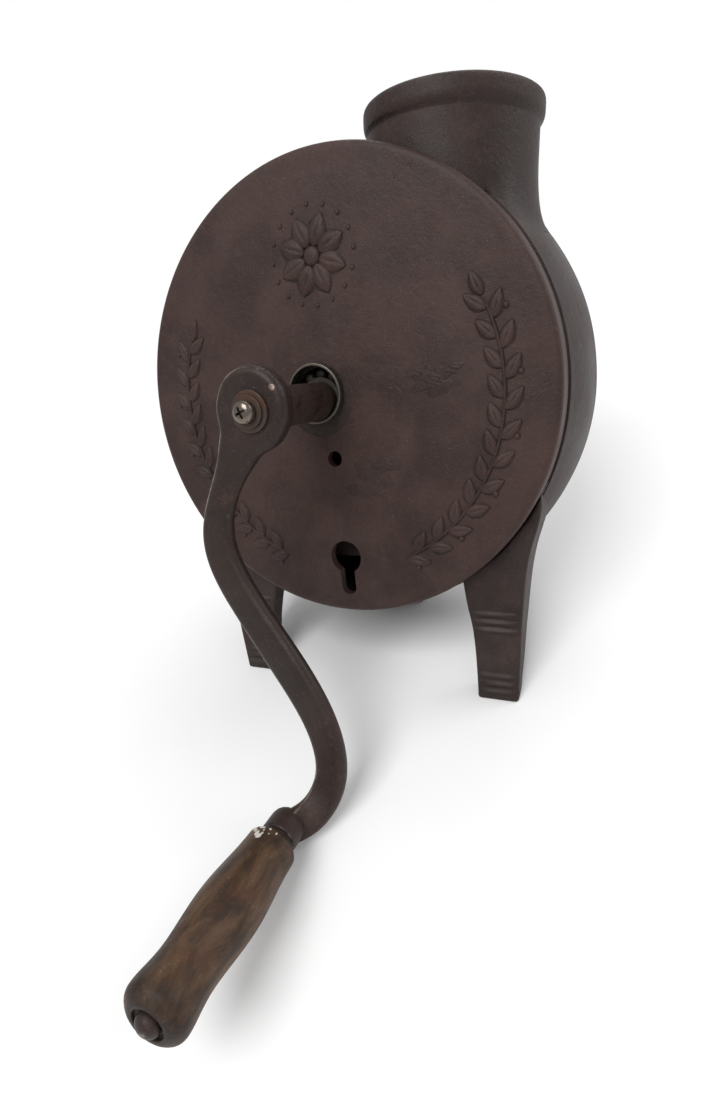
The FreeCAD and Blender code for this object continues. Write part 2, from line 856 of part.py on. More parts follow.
def make_rear_leg():
    """Rear leg: a curved web from the drum down to a flat sole that lies along the table."""
    web = new_body("RearLegWeb")
    sketch = sketch_on(web, "YZ_Plane", "RearLegOutline", flipped=True)
    back_top = back_face - S.casing_wall / 2
    heel = S.rear_leg_back - S.sole_hole_inset * 2
    front = S.rear_leg_front + S.sole_thickness
    corners = [
        (S.rear_leg_front - S.sole_thickness, casing_radius - S.casing_corner),
        (front, table_drop(front)),
        (heel, table_drop(heel)),
        (back_top, S.rear_leg_top),
        (back_top - S.casing_corner, S.rear_leg_top),
    ]
    draw_outline(sketch, corners, {2: -S.rear_leg_curve})
    pad(web, sketch, S.rear_leg_thickness, "RearLegPad", centred=True)
    along_table = FreeCAD.Rotation(V(1, 0, 0), S.lean_angle.value)
    length = (S.rear_leg_back - S.rear_leg_front) / cosine(S.lean_angle)
    corner = (-S.sole_width / 2, S.rear_leg_front, -table_drop(S.rear_leg_front))
    sole = box("Sole", (S.sole_width, length, S.sole_thickness), corner, along_table)
    depth = S.rear_leg_back - S.sole_hole_inset
    hole = cylinder("SoleHole", S.sole_hole_radius, S.sole_thickness * 4, (0, 0, 0), ALONG_Z)
    hole.setExpression("Placement.Base.y", None)
    hole.setExpression("Placement.Base.z", None)
    under = FreeCAD.Placement(V(0, depth.value, -table_drop(depth).value), along_table)
    hole.Placement = under.multiply(shift(z=-S.sole_thickness * 2))
    return web, sole, hole


def make_rear_casing():
    """One casting: drum, feed throat, three legs, bearing boss, screw pillars, lugs and spring barrel."""
    drum = drum_body("DrumOutside", 0, S.cover_depth)
    hollow = drum_body("DrumHollow", S.casing_wall, S.cover_depth - S.casing_wall)
    throat, skirt, bore = make_throat()
    right_leg = make_front_leg()
    left_leg = doc.addObject("Part::Mirroring", "LeftLeg")
    left_leg.Source = right_leg
    left_leg.Normal = V(1, 0, 0)
    web, sole, sole_hole = make_rear_leg()
    barrel_place = (S.plate_across, back_face - S.casing_wall, S.plunger_height)
    barrel = cylinder("SpringBarrel", S.barrel_radius, S.barrel_length + S.casing_wall, barrel_place)
    outside = fuse("CasingOutside", [drum, throat, skirt, right_leg, left_leg, web, sole, barrel])
    shell = cut("CasingShell", outside, fuse("CasingHollow", [hollow, bore]))
    posts = []
    for place in SCREW_PLACES:
        across, height = screw_point(place)
        at = (across, S.cover_depth, height)
        posts.append(cylinder(f"ScrewPost{place}", S.screw_boss_radius, S.casing_depth, at))
        rib = box(f"ScrewRib{place}", (S.screw_boss_radius * 2, S.casing_depth, S.screw_boss_radius * 2),
                  (0, 0, 0))
        for axis in "xyz":
            rib.setExpression(f"Placement.Base.{axis}", None)
        turn = FreeCAD.Rotation(V(0, 1, 0), -screw_angle(place).value)
        spot = FreeCAD.Placement(V(across.value, S.cover_depth.value, height.value), turn)
        rib.Placement = spot.multiply(shift(z=-S.screw_boss_radius))
        posts.append(rib)
    within = drum_body("DrumLimit", 0, S.cover_depth)
    pillars = common("ScrewPillars", fuse("ScrewPosts", posts), within)
    boss_near = back_face - S.casing_wall - S.rear_boss_inset
    boss_length = S.casing_wall + S.rear_boss_inset + S.rear_boss_proud
    boss = cylinder("RearBoss", S.rear_boss_radius, boss_length, (-S.shaft_offset, boss_near, 0))
    lug_depth = plate_pivot_depth - S.lug_reach
    lug_spans = (S.lug_width, back_face - S.casing_wall / 2 - lug_depth, S.lug_height)
    lug_floor = S.plate_pivot_height - S.lug_height / 2
    half_plate = S.plate_width / 2 + S.side_gap
    near_lug = box("LeftLug", lug_spans, (S.plate_across - half_plate - S.lug_width, lug_depth, lug_floor))
    far_lug = box("RightLug", lug_spans, (S.plate_across + half_plate, lug_depth, lug_floor))
    whole = fuse("CasingWhole", [shell, pillars, boss, near_lug, far_lug])
    cutters = [sole_hole]
    reach = S.casing_depth * 2
    cutters.append(cylinder("RearBore", bore_radius, reach, (-S.shaft_offset, S.cover_depth, 0)))
    barrel_bore_place = (S.plate_across, back_face - S.casing_wall * 2, S.plunger_height)
    cutters.append(cylinder("BarrelBore", S.barrel_bore, reach, barrel_bore_place))
    for place in SCREW_PLACES:
        across, height = screw_point(place)
        hole_place = (across, S.cover_depth - S.casing_wall, height)
        cutters.append(cylinder(f"ScrewHole{place}", S.screw_radius + S.screw_fit, reach, hole_place))
        seat_radius = S.screw_head_radius + S.screw_seat_clearance
        cutters.append(cylinder(f"ScrewSeat{place}", seat_radius, reach, (across, screw_seat, height)))
    pin_place = (S.plate_across - S.plate_width, plate_pivot_depth, S.plate_pivot_height)
    pin_radius = S.pivot_pin_radius + S.running_fit
    cutters.append(cylinder("PivotPinHole", pin_radius, S.plate_width * 2, pin_place, ALONG_X))
    cutters.append(make_chute("CobChute", S.cob_chute_near, S.cob_chute_far, S.cob_chute_back))
    cutters.append(make_chute("KernelChute", -S.kernel_chute_far, -S.kernel_chute_near, S.kernel_chute_back))
    clear = S.cover_radius + S.cover_clearance
    cutters.append(cylinder("CoverSpace", clear, S.cover_depth * 2, (0, -S.cover_depth, 0)))
    cutters.append(make_table_block())
    casing = cut("RearCasing", whole, fuse("CasingCuts", cutters))
    hand_over("rear_casing", casing)


def make_chute(name, left, right, back):
    """Opening cut down through the drum's floor."""
    spans = (right - left, back - S.chute_front, S.casing_corner * 2)
    return box(name, spans, (left, S.chute_front, -casing_radius - S.casing_corner / 2))


def make_table_block():
    """Everything under the table's top, which trims the feet flat."""
    reach = casing_radius.value * 4
    block = doc.addObject("Part::Box", "UnderTable")
    bind(block, "Length", casing_radius * 4)
    bind(block, "Width", casing_radius * 4)
    bind(block, "Height", casing_radius)
    spot = V(0, S.leg_front.value, -S.leg_drop.value)
    turn = FreeCAD.Rotation(V(1, 0, 0), S.lean_angle.value)
    corner = shift(x=-reach / 2, y=-reach / 2, z=-casing_radius)
    block.Placement = FreeCAD.Placement(spot, turn).multiply(corner)
    return block


def make_cover_screws():
    """Four long screws that come in from behind and pull the cover onto the casing."""
    screws = []
    tip = S.cover_depth - S.screw_reach
    head_top = screw_seat + S.screw_head_height
    for place in SCREW_PLACES:
        across, height = screw_point(place)
        body = new_body(f"CoverScrew{place}")
        outline = [
            (0, tip),
            (S.screw_radius, tip),
            (S.screw_radius, screw_seat),
            (S.screw_head_radius, screw_seat),
            (S.screw_head_radius, head_top - S.screw_head_height / 2),
            (S.screw_head_radius / 2, head_top),
            (0, head_top),
        ]
        revolve(body, outline)
        body.Placement = shift(x=across, z=height)
        screws.append(body)
    hand_over("cover_screws", gather("CoverScrews", screws))


# Bearings

def cut_race(body, depth):
    """Roll the ball track into a ring, as an eight-sided outline that lies round the ball's circle."""
    sketch = sketch_on(body, "XY_Plane", "TrackOutline")
    long = ball_groove
    short = ball_groove * tangent(as_size(22.5))
    sides = [(long, -short), (long, short), (short, long), (-short, long)]
    sides += [(-across, -along) for across, along in sides]
    draw_outline(sketch, [(S.ball_circle + across, depth + along) for across, along in sides])
    groove(body, sketch, "BallTrack")


def make_cups():
    """Outer rings, the front one with the lip that stands proud of the cover."""
    front = new_body("FrontCup")
    far = S.front_ball_depth + S.cup_reach
    outline = [
        (S.cup_lip_bore, -S.cup_lip),
        (S.cup_radius, -S.cup_lip),
        (S.cup_radius, far),
        (S.cup_bore, far),
        (S.cup_bore, 0),
        (S.cup_lip_bore, 0),
    ]
    revolve(front, outline)
    cut_race(front, S.front_ball_depth)
    hand_over("front_bearing_cup", front, AT_SHAFT)
    near = rear_ball_depth - S.cup_reach
    rear = ring_body("RearCup", S.cup_bore, S.cup_radius, near, rear_ball_depth + S.cup_reach)
    cut_race(rear, rear_ball_depth)
    hand_over("rear_bearing_cup", rear, AT_SHAFT)


def make_cones():
    """Inner rings on the shaft."""
    bore = S.shaft_radius + S.running_fit
    for label, depth in (("front", S.front_ball_depth), ("rear", rear_ball_depth)):
        near = depth - S.cone_width / 2
        ring = ring_body(f"{label}Cone", bore, S.cone_radius, near, depth + S.cone_width / 2)
        cut_race(ring, depth)
        hand_over(f"{label}_bearing_cone", ring, AT_SHAFT)


def ball_of_flats(radius):
    """Return a ball as a solid of flat facets, eight round its equator, so that a full ring stays light."""
    rings = []
    for row in (-1, 0, 1):
        latitude = math.radians(45.0 * row)
        ring = []
        for step in range(BALL_SIDES):
            longitude = 2 * math.pi * step / BALL_SIDES
            flat = radius * math.cos(latitude)
            ring.append(V(flat * math.cos(longitude), flat * math.sin(longitude), radius * math.sin(latitude)))
        rings.append(ring)
    top = V(0, 0, radius)
    faces = []
    for step in range(BALL_SIDES):
        after = (step + 1) % BALL_SIDES
        faces.append(Part.Face(Part.makePolygon([-top, rings[0][after], rings[0][step], -top])))
        faces.append(Part.Face(Part.makePolygon([top, rings[2][step], rings[2][after], top])))
        for low, high in ((0, 1), (1, 2)):
            corners = [rings[low][step], rings[low][after], rings[high][after], rings[high][step]]
            faces.append(Part.Face(Part.makePolygon(corners + corners[:1])))
    return Part.Solid(Part.Shell(faces))


def make_balls():
    """A full ring of loose balls in each bearing."""
    for label, depth in (("front", S.front_ball_depth), ("rear", rear_ball_depth)):
        balls = []
        for number in range(BALL_COUNT):
            angle = as_size(360.0 * number / BALL_COUNT)
            ball = doc.addObject("Part::Feature", f"{label}Ball{number}")
            ball.Shape = ball_of_flats(S.ball_radius.value)
            place = (S.ball_circle * cosine(angle), depth, S.ball_circle * sine(angle))
            set_base(ball, place, ALONG_Y)
            balls.append(ball)
        hand_over(f"{label}_bearing_balls", gather(f"{label}Balls", balls), AT_SHAFT)


# Shaft and picker wheel

def make_shaft():
    """Shaft with the square for the crank, the rear collar and the thread for the lock nut."""
    body = new_body("Shaft")
    collar_front = rear_cone_front - S.shaft_collar_width
    thread_near = rear_cone_back + S.seat_gap
    tail = back_face + S.rear_boss_proud + S.shaft_tail
    outline = [
        (0, hub_back),
        (S.shaft_radius, hub_back),
        (S.shaft_radius, collar_front),
        (S.shaft_collar_radius, collar_front),
        (S.shaft_collar_radius, rear_cone_front - S.seat_gap),
        (S.shaft_radius, rear_cone_front - S.seat_gap),
        (S.shaft_radius, thread_near),
        (S.shaft_thread_radius, thread_near),
        (S.shaft_thread_radius, tail),
        (0, tail),
    ]
    revolve(body, outline)
    half = S.square_flats / 2
    front = hub_front + S.square_short
    square = front_sketch(body, "SquareOutline", front)
    draw_outline(square, [(-half, -half), (half, -half), (half, half), (-half, half)])
    pad(body, square, hub_back - front, "SquareEnd")
    hole_depth = S.hub_screw_length + S.seat_gap * 2
    hole = front_sketch(body, "TappedHoleCircle", front + hole_depth)
    draw_circle(hole, S.hub_screw_radius + S.screw_fit)
    pocket(body, hole, hole_depth, "TappedHole")
    pin_hole = sketch_on(body, "YZ_Plane", "PinHoleCircle")
    draw_circle(pin_hole, S.wheel_pin_radius + S.running_fit, wheel_back - S.wheel_pin_inset, 0)
    pocket(body, pin_hole, S.wheel_boss_radius * 4, "PinHole", centred=True)
    hand_over("drive_shaft", body, AT_SHAFT)


def make_picker_wheel():
    """Cast disc whose curved ribs are notched into saw teeth that turn the ear and strip it."""
    body = new_body("PickerWheel")
    bore = S.shaft_radius + S.running_fit
    outline = [
        (bore, wheel_nose),
        (S.wheel_nose_radius, wheel_nose),
        (S.wheel_nose_radius, wheel_hub_front),
        (S.wheel_hub_radius, wheel_hub_front),
        (S.wheel_hub_radius, wheel_plate_front),
        (S.wheel_radius, wheel_plate_front),
        (S.wheel_radius, wheel_plate_back),
        (S.wheel_hub_radius, wheel_plate_back),
        (S.wheel_boss_radius, wheel_back),
        (bore, wheel_back),
    ]
    revolve(body, outline, name="Disc")
    rib = front_sketch(body, "RibOutline", wheel_plate_back - S.running_fit)
    inner = S.wheel_boss_radius - S.rib_inset / 2
    outer = S.wheel_radius - S.rib_inset
    half = S.rib_width / 2
    end_across = outer * cosine(S.rib_sweep)
    end_along = outer * sine(S.rib_sweep)
    side_across = half * sine(S.rib_sweep)
    side_along = half * cosine(S.rib_sweep)
    corners = [
        (inner, -half),
        (end_across + side_across, end_along - side_along),
        (end_across - side_across, end_along + side_along),
        (inner, half),
    ]
    bend = (outer - inner / 2) / (sine(S.rib_sweep) * 2)
    draw_outline(rib, corners, {0: bend + half, 2: -(bend - half)})
    first = pad(body, rib, S.rib_height + S.running_fit, "Rib")
    pattern = body.newObject("PartDesign::PolarPattern", "Ribs")
    pattern.Originals = [first]
    pattern.Axis = (rib, ["N_Axis"])
    pattern.Angle = 360
    pattern.Occurrences = RIB_COUNT
    body.Tip = pattern
    doc.recompute()
    teeth = sketch_on(body, "XY_Plane", "NotchOutlines")
    crest = wheel_plate_back + S.rib_height
    for number in range(NOTCH_COUNT):
        near = S.notch_first_radius + S.notch_pitch * number
        far = near + S.notch_width
        corners = [(near, crest + S.running_fit), (far, crest - S.notch_depth), (far, crest + S.running_fit)]
        draw_outline(teeth, corners)
    groove(body, teeth, "Notches")
    pin_hole = sketch_on(body, "YZ_Plane", "WheelPinCircle")
    draw_circle(pin_hole, S.wheel_pin_radius + S.running_fit, wheel_back - S.wheel_pin_inset, 0)
    pocket(body, pin_hole, S.wheel_boss_radius * 4, "WheelPinHole", centred=True)
    hand_over("picker_wheel", body, AT_SHAFT)
    pin = new_body("WheelPin")
    length = S.wheel_boss_radius - S.rib_inset / 2
    revolve(pin, [(0, -length), (S.wheel_pin_radius, -length), (S.wheel_pin_radius, length), (0, length)])
    across = FreeCAD.Placement(V(0, (wheel_back - S.wheel_pin_inset).value, 0), FreeCAD.Rotation(V(0, 0, 1), -90))
    hand_over("wheel_pin", pin, AT_SHAFT.multiply(across))


def make_rear_lock():
    """Washer and nut that set the rear cone."""
    bore = S.shaft_thread_radius + S.running_fit
    near = rear_cone_back + S.seat_gap * 2
    far = near + S.lock_washer_thickness
    washer = ring_body("LockWasher", bore, S.lock_washer_radius, near, far)
    hand_over("rear_lock_washer", washer, AT_SHAFT)
    nut_near = far + S.seat_gap
    outside = hexagon("LockNutOutside", S.lock_nut_radius, S.lock_nut_height, nut_near)
    hole = cylinder("LockNutHole", bore, S.lock_nut_height * 3, (0, nut_near - S.lock_nut_height, 0))
    hand_over("rear_lock_nut", cut("LockNut", outside, hole), AT_SHAFT)


# Pressure plate and spring

def make_pressure_plate():
    """Hinged plate with ribs that keep the ear against the wheel."""
    body = new_body("PressurePlate")
    half = S.plate_thickness / 2
    eye = sketch_on(body, "YZ_Plane", "EyeCircle", flipped=True)
    draw_circle(eye, S.plate_eye_radius)
    pad(body, eye, S.plate_width, "Eye", centred=True)
    blade = sketch_on(body, "YZ_Plane", "BladeOutline", flipped=True)
    corners = [
        (-half, S.running_fit),
        (half, S.running_fit),
        (half, S.plate_length - half),
        (-half, S.plate_length),
    ]
    draw_outline(blade, corners)
    pad(body, blade, S.plate_width, "Blade", centred=True)
    rib = front_sketch(body, "PlateRibOutline", -half - S.plate_rib_height)
    left = S.plate_rib_pitch * (PLATE_RIB_COUNT - 1) / 2 + S.plate_rib_width / 2
    corners = [
        (-left, S.plate_eye_radius * 2),
        (-left + S.plate_rib_width, S.plate_eye_radius * 2),
        (-left + S.plate_rib_width, S.plate_length - S.plate_eye_radius),
        (-left, S.plate_length - S.plate_eye_radius),
    ]
    draw_outline(rib, corners)
    first = pad(body, rib, S.plate_rib_height + half, "PlateRib")
    pattern = body.newObject("PartDesign::LinearPattern", "PlateRibs")
    pattern.Originals = [first]
    pattern.Direction = (rib, ["H_Axis"])
    pattern.Occurrences = PLATE_RIB_COUNT
    bind(pattern, "Length", S.plate_rib_pitch * (PLATE_RIB_COUNT - 1))
    body.Tip = pattern
    doc.recompute()
    hole = sketch_on(body, "YZ_Plane", "PivotCircle")
    draw_circle(hole, S.pivot_pin_radius + S.pivot_fit)
    pocket(body, hole, S.plate_width * 2, "PivotHole", centred=True)
    spot = V(S.plate_across.value, plate_pivot_depth.value, S.plate_pivot_height.value)
    tilt = FreeCAD.Rotation(V(1, 0, 0), -S.plate_rest_tilt.value)
    hand_over("pressure_plate", body, FreeCAD.Placement(spot, tilt))
    pin = new_body("PivotPin")
    near = -(S.plate_width / 2 + S.side_gap + S.lug_width)
    outline = [
        (0, near - S.pivot_pin_head_length),
        (S.pivot_pin_head, near - S.pivot_pin_head_length),
        (S.pivot_pin_head, near),
        (S.pivot_pin_radius, near),
        (S.pivot_pin_radius, -near + S.pivot_pin_head_length),
        (0, -near + S.pivot_pin_head_length),
    ]
    revolve(pin, outline)
    sideways = FreeCAD.Rotation(V(0, 0, 1), -90)
    hand_over("plate_pivot_pin", pin, FreeCAD.Placement(spot, sideways))


def plunger_tip():
    """Return the depth at which the plunger's nub meets the back of the resting plate."""
    below = S.plate_pivot_height - S.plunger_height
    back = S.plate_thickness / 2 / cosine(S.plate_rest_tilt)
    return plate_pivot_depth - below * tangent(S.plate_rest_tilt) + back


def make_spring_set():
    """Plunger, spring, hollow adjusting screw with its lock nut, and the stop nut."""
    place = shift(x=S.plate_across, z=S.plunger_height)
    tip = plunger_tip() + S.side_gap
    head = tip + S.plunger_nub_length
    head_back = head + S.plunger_head_thickness
    adjuster_near = barrel_end - S.adjuster_reach
    adjuster_head = barrel_end + S.adjuster_stand
    adjuster_far = adjuster_head + S.adjuster_head_length
    tail = adjuster_far + S.plunger_tail
    plunger = new_body("Plunger")
    outline = [
        (0, tip),
        (S.plunger_rod_radius / 3, tip),
        (S.plunger_rod_radius, tip + S.plunger_nub_length / 3),
        (S.plunger_rod_radius, head),
        (S.plunger_head_radius, head),
        (S.plunger_head_radius, head_back),
        (S.plunger_rod_radius, head_back),
        (S.plunger_rod_radius, tail),
        (0, tail),
    ]
    revolve(plunger, outline)
    hand_over("spring_plunger", plunger, place)
    thread = S.barrel_bore - S.adjuster_fit
    guide = S.plunger_rod_radius + S.adjuster_fit * 2
    outside = hexagon("AdjusterHead", S.adjuster_head_radius, S.adjuster_head_length, adjuster_head)
    stem_length = adjuster_head - adjuster_near + S.adjuster_fit
    stem = cylinder("AdjusterStem", thread, stem_length, (0, adjuster_near, 0))
    hole = cylinder("AdjusterHole", guide, S.barrel_length * 4, (0, back_face - S.barrel_length, 0))
    adjuster = cut("Adjuster", fuse("AdjusterSolid", [outside, stem]), hole)
    hand_over("spring_adjuster", adjuster, place)
    nut_near = barrel_end + S.seat_gap
    nut = hexagon("BarrelNutOutside", S.adjuster_lock_nut_radius, S.adjuster_lock_nut_height, nut_near)
    nut_hole = cylinder("BarrelNutHole", S.barrel_bore, S.barrel_length * 2, (0, back_face, 0))
    hand_over("adjuster_lock_nut", cut("BarrelNut", nut, nut_hole), place)
    stop_near = adjuster_far + S.side_gap
    stop = hexagon("StopNutOutside", S.stop_nut_radius, S.stop_nut_height, stop_near)
    stop_hole = cylinder("StopNutHole", S.plunger_rod_radius + S.running_fit, S.barrel_length,
                         (0, adjuster_far - S.side_gap, 0))
    hand_over("plunger_stop_nut", cut("StopNut", stop, stop_hole), place)
    make_spring(place, head_back + S.seat_gap * 2, adjuster_near - S.seat_gap * 2)


def make_spring(place, near, far):
    """Open coil between the plunger's head and the adjusting screw."""
    wire = S.spring_wire_radius.value
    length = far.value - near.value - wire * 2
    coil = Part.makeHelix(length / SPRING_TURNS, length, S.spring_radius.value)
    corners = []
    for step in range(WIRE_SIDES + 1):
        angle = 2 * math.pi * step / WIRE_SIDES
        corners.append(V(S.spring_radius.value + wire * math.cos(angle), 0, wire * math.sin(angle)))
    section = Part.makePolygon(corners)
    path = Part.Wire(coil.Edges)
    solid = path.makePipeShell([section], True, True)
    thing = doc.addObject("Part::Feature", "Spring")
    thing.Shape = solid
    stand = FreeCAD.Placement(V(0, near.value + wire, 0), ALONG_Y)
    hand_over("pressure_spring", thing, place.multiply(stand))


# Crank

def arm_stations():
    """List the arm's stations as centre points with widths, from inside the hub to the end boss."""
    middle = hub_front.value + S.arm_thickness.value / 2
    stations = []

    def size(station, part):
        return getattr(S, f"arm_{station}_{part}").value

    for name in FLAT_STATIONS + SWEPT_STATIONS:
        sweep = size(name, "sweep") if name in SWEPT_STATIONS else 0.0
        point = V(size(name, "swing"), middle - sweep, -size(name, "drop"))
        stations.append((point, size(name, "width")))
    for name in BOSS_STATIONS:
        depth = middle - S.end_boss_sweep.value + size(name, "setback")
        across = S.crank_aside.value + size(name, "aside")
        point = V(across, depth, size(name, "rise") - S.crank_reach.value)
        stations.append((point, size(name, "width")))
    boss = V(S.crank_aside.value, boss_face.value + S.end_boss_length.value, -S.crank_reach.value)
    stations.append((boss, S.end_boss_radius.value * BOSS_COVER))
    return stations


def rounded_section(centre, side, face, width, thickness, corner):
    """Make a rounded oblong across the arm, with its width along side and its thickness along face."""
    half_width = width / 2
    half_depth = thickness / 2
    slant = corner * (1 - math.sqrt(0.5))

    def at(across, outward):
        return centre + side * across + face * outward

    edges = []
    for turn in range(4):
        across_sign = 1 if turn in (0, 3) else -1
        out_sign = 1 if turn in (0, 1) else -1
        wide = at(across_sign * half_width, out_sign * (half_depth - corner))
        high = at(across_sign * (half_width - corner), out_sign * half_depth)
        middle = at(across_sign * (half_width - slant), out_sign * (half_depth - slant))
        first, last = (wide, high) if turn in (0, 2) else (high, wide)
        edges.append(Part.Arc(first, middle, last).toShape())
        next_across = -across_sign if turn in (0, 2) else across_sign
        next_out = out_sign if turn in (0, 2) else -out_sign
        if turn in (0, 2):
            target = at(next_across * (half_width - corner), next_out * half_depth)
        else:
            target = at(next_across * half_width, next_out * (half_depth - corner))
        edges.append(Part.LineSegment(last, target).toShape())
    return Part.Wire(edges)


def make_crank_arm():
    """Crank arm: S-shaped flat bar lofted between its round hub and the boss that carries the grip."""
    stations = arm_stations()
    centre_line = Part.BSplineCurve()
    centre_line.interpolate([point for point, width in stations])
    side = V(1, 0, 0)
    sections = []
    corner = S.arm_edge_round.value
    for point, width in stations:
        along = centre_line.tangent(centre_line.parameter(point))[0].normalize()
        side = (side - along * side.dot(along)).normalize()
        face = along.cross(side).normalize()
        sections.append(rounded_section(point, side, face, width, S.arm_thickness.value, corner))
    bar = Part.makeLoft(sections, True, False)
    toward = V(0, 1, 0)
    hub = Part.makeCylinder(S.hub_radius.value, S.hub_thickness.value, V(0, hub_front.value, 0), toward)
    rims = [edge for edge in hub.Edges if isinstance(edge.Curve, Part.Circle)]
    hub = hub.makeChamfer(S.hub_edge_bevel.value, rims)
    length = S.end_boss_length.value + S.arm_thickness.value
    boss = Part.makeCylinder(S.end_boss_radius.value, length, V(0, boss_face.value, 0), toward)
    far_edges = [edge for edge in boss.Edges
                 if isinstance(edge.Curve, Part.Circle) and edge.Curve.Center.y > boss_face.value + 1]
    boss = boss.makeChamfer(S.end_boss_radius.value / 2, far_edges)
    boss.Placement = BOSS_LINE
    solid = bar.fuse([hub, boss])
    flats = (S.square_flats + S.square_fit * 2).value
    square = Part.makeBox(flats, S.hub_thickness.value * 3, flats,
                          V(-flats / 2, hub_front.value - S.hub_thickness.value, -flats / 2))
    hole = Part.makeCylinder((S.spindle_radius + S.running_fit).value, length * 3,
                             V(0, boss_face.value - length, 0), toward)
    hole.Placement = BOSS_LINE
    solid = solid.cut([square, hole])
    thing = doc.addObject("Part::Feature", "CrankArm")
    thing.Shape = solid.Solids[0] if len(solid.Solids) == 1 else solid
    hand_over("crank_arm", thing, AT_SHAFT)


def make_hub_fasteners():
    """Two washers and the pan head screw that hold the crank on the square."""
    large_near = hub_front - S.washer_thickness
    large = ring_body("LargeWasher", S.washer_hole_radius, S.large_washer_radius, large_near, hub_front)
    hand_over("large_hub_washer", large, AT_SHAFT)
    small_near = large_near - S.washer_thickness
    small = ring_body("SmallWasher", S.washer_hole_radius, S.small_washer_radius, small_near, large_near)
    hand_over("small_hub_washer", small, AT_SHAFT)
    screw = new_body("HubScrew")
    top = small_near - S.hub_screw_head_height
    tip = hub_front + S.square_short + S.hub_screw_length
    outline = [
        (0, top),
        (S.hub_screw_head_radius * 0.6, top),
        (S.hub_screw_head_radius, top + S.hub_screw_head_height / 2),
        (S.hub_screw_head_radius, small_near),
        (S.hub_screw_radius, small_near),
        (S.hub_screw_radius, tip),
        (0, tip),
    ]
    revolve(screw, outline)
    hand_over("hub_screw", screw, AT_SHAFT)


def make_grip():
    """Turned wooden grip that spins on its spindle."""
    near = grip_near.value
    length = S.grip_length.value
    stations = [
        (0.0, S.grip_end_radius.value),
        (S.grip_shoulder_at.value, S.grip_shoulder_radius.value),
        (S.grip_belly_at.value, S.grip_belly_radius.value),
        (S.grip_waist_at.value, S.grip_waist_radius.value),
        (S.grip_knob_at.value, S.grip_knob_radius.value),
        (S.grip_nose_at.value, S.grip_nose_radius.value),
        (length, S.grip_tip_radius.value),
    ]
    profile = Part.BSplineCurve()
    profile.interpolate([V(radius, near - along, 0) for along, radius in stations])
    edges = [
        profile.toShape(),
        Part.makeLine(V(stations[-1][1], near - length, 0), V(0, near - length, 0)),
        Part.makeLine(V(0, near - length, 0), V(0, near, 0)),
        Part.makeLine(V(0, near, 0), V(stations[0][1], near, 0)),
    ]
    solid = Part.Face(Part.Wire(edges)).revolve(V(0, 0, 0), V(0, 1, 0), 360)
    bore = Part.makeCylinder((S.spindle_radius + S.grip_fit).value, length * 2,
                             V(0, near - length * 1.5, 0), V(0, 1, 0))
    recess = Part.makeCylinder(S.grip_recess_radius.value, S.grip_recess_depth.value * 2,
                               V(0, near - length - S.grip_recess_depth.value, 0), V(0, 1, 0))
    thing = doc.addObject("Part::Feature", "Grip")
    thing.Shape = solid.cut([bore, recess])
    hand_over("wooden_grip", thing, AT_GRIP)


def make_spindle():
    """Steel spindle riveted into the arm's end boss, with its domed head in the grip's recess."""
    floor = grip_near - S.grip_length + S.grip_recess_depth - S.seat_gap
    top = floor - S.spindle_head_height
    tail = boss_face + S.spindle_tail_length
    body = new_body("Spindle")
    outline = [
        (0, top),
        (S.spindle_head_radius * 0.45, top),
        (S.spindle_head_radius * 0.85, top + S.spindle_head_height * 0.3),
        (S.spindle_head_radius, top + S.spindle_head_height * 0.7),
        (S.spindle_head_radius, floor),
        (S.spindle_radius, floor),
        (S.spindle_radius, tail),
        (0, tail),
    ]
    revolve(body, outline)
    hand_over("grip_spindle", body, AT_GRIP)
    near = grip_near + S.seat_gap
    washer = ring_body("GripWasher", S.spindle_radius + S.running_fit, S.grip_washer_radius, near, boss_face)
    hand_over("grip_washer", washer, AT_GRIP)


# Standing the machine on its own centre

def centre_on_table():
    """Move every piece so that the middle of the whole lies over the origin."""
    lows = []
    highs = []
    for thing in nodes.values():
        points = thing.Shape.tessellate(0.1)[0]
        lows.append(min(point.y for point in points))
        highs.append(max(point.y for point in points))
    aside = -(min(lows) + max(highs)) / 2
    for thing in nodes.values():
        thing.Placement = FreeCAD.Placement(V(0, aside, 0), FreeCAD.Rotation()).multiply(thing.Placement)
    doc.recompute()
    return aside


def check_document():
    """Stop if any object failed or any piece has no sound shape."""
    for thing in doc.Objects:
        if "Invalid" in thing.State or "Error" in thing.State:
            raise RuntimeError(f"{thing.Name} failed: {thing.State}")
    for label, thing in nodes.items():
        if thing.Shape.isNull() or not thing.Shape.isValid():
            raise RuntimeError(f"{label} has no sound shape")


make_front_cover()
make_rear_casing()
make_cover_screws()
make_cups()
make_cones()
make_balls()
make_shaft()
make_picker_wheel()
make_rear_lock()
make_pressure_plate()
make_spring_set()
make_crank_arm()
make_hub_fasteners()
make_grip()
make_spindle()
doc.recompute()
check_document()
aside = centre_on_table()
check_document()

os.makedirs("parts", exist_ok=True)
for label, thing in nodes.items():
    thing.Shape.exportStep(f"parts/{label}.step")
print(f"{len(nodes)} pieces, moved {aside:.4f} mm along Y to stand over the origin")
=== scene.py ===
import json
import logging
import math
from dataclasses import dataclass, field
from enum import Enum
from typing import Callable, Optional, Sequence

import bpy
import numpy as np
from mathutils import Matrix, Vector


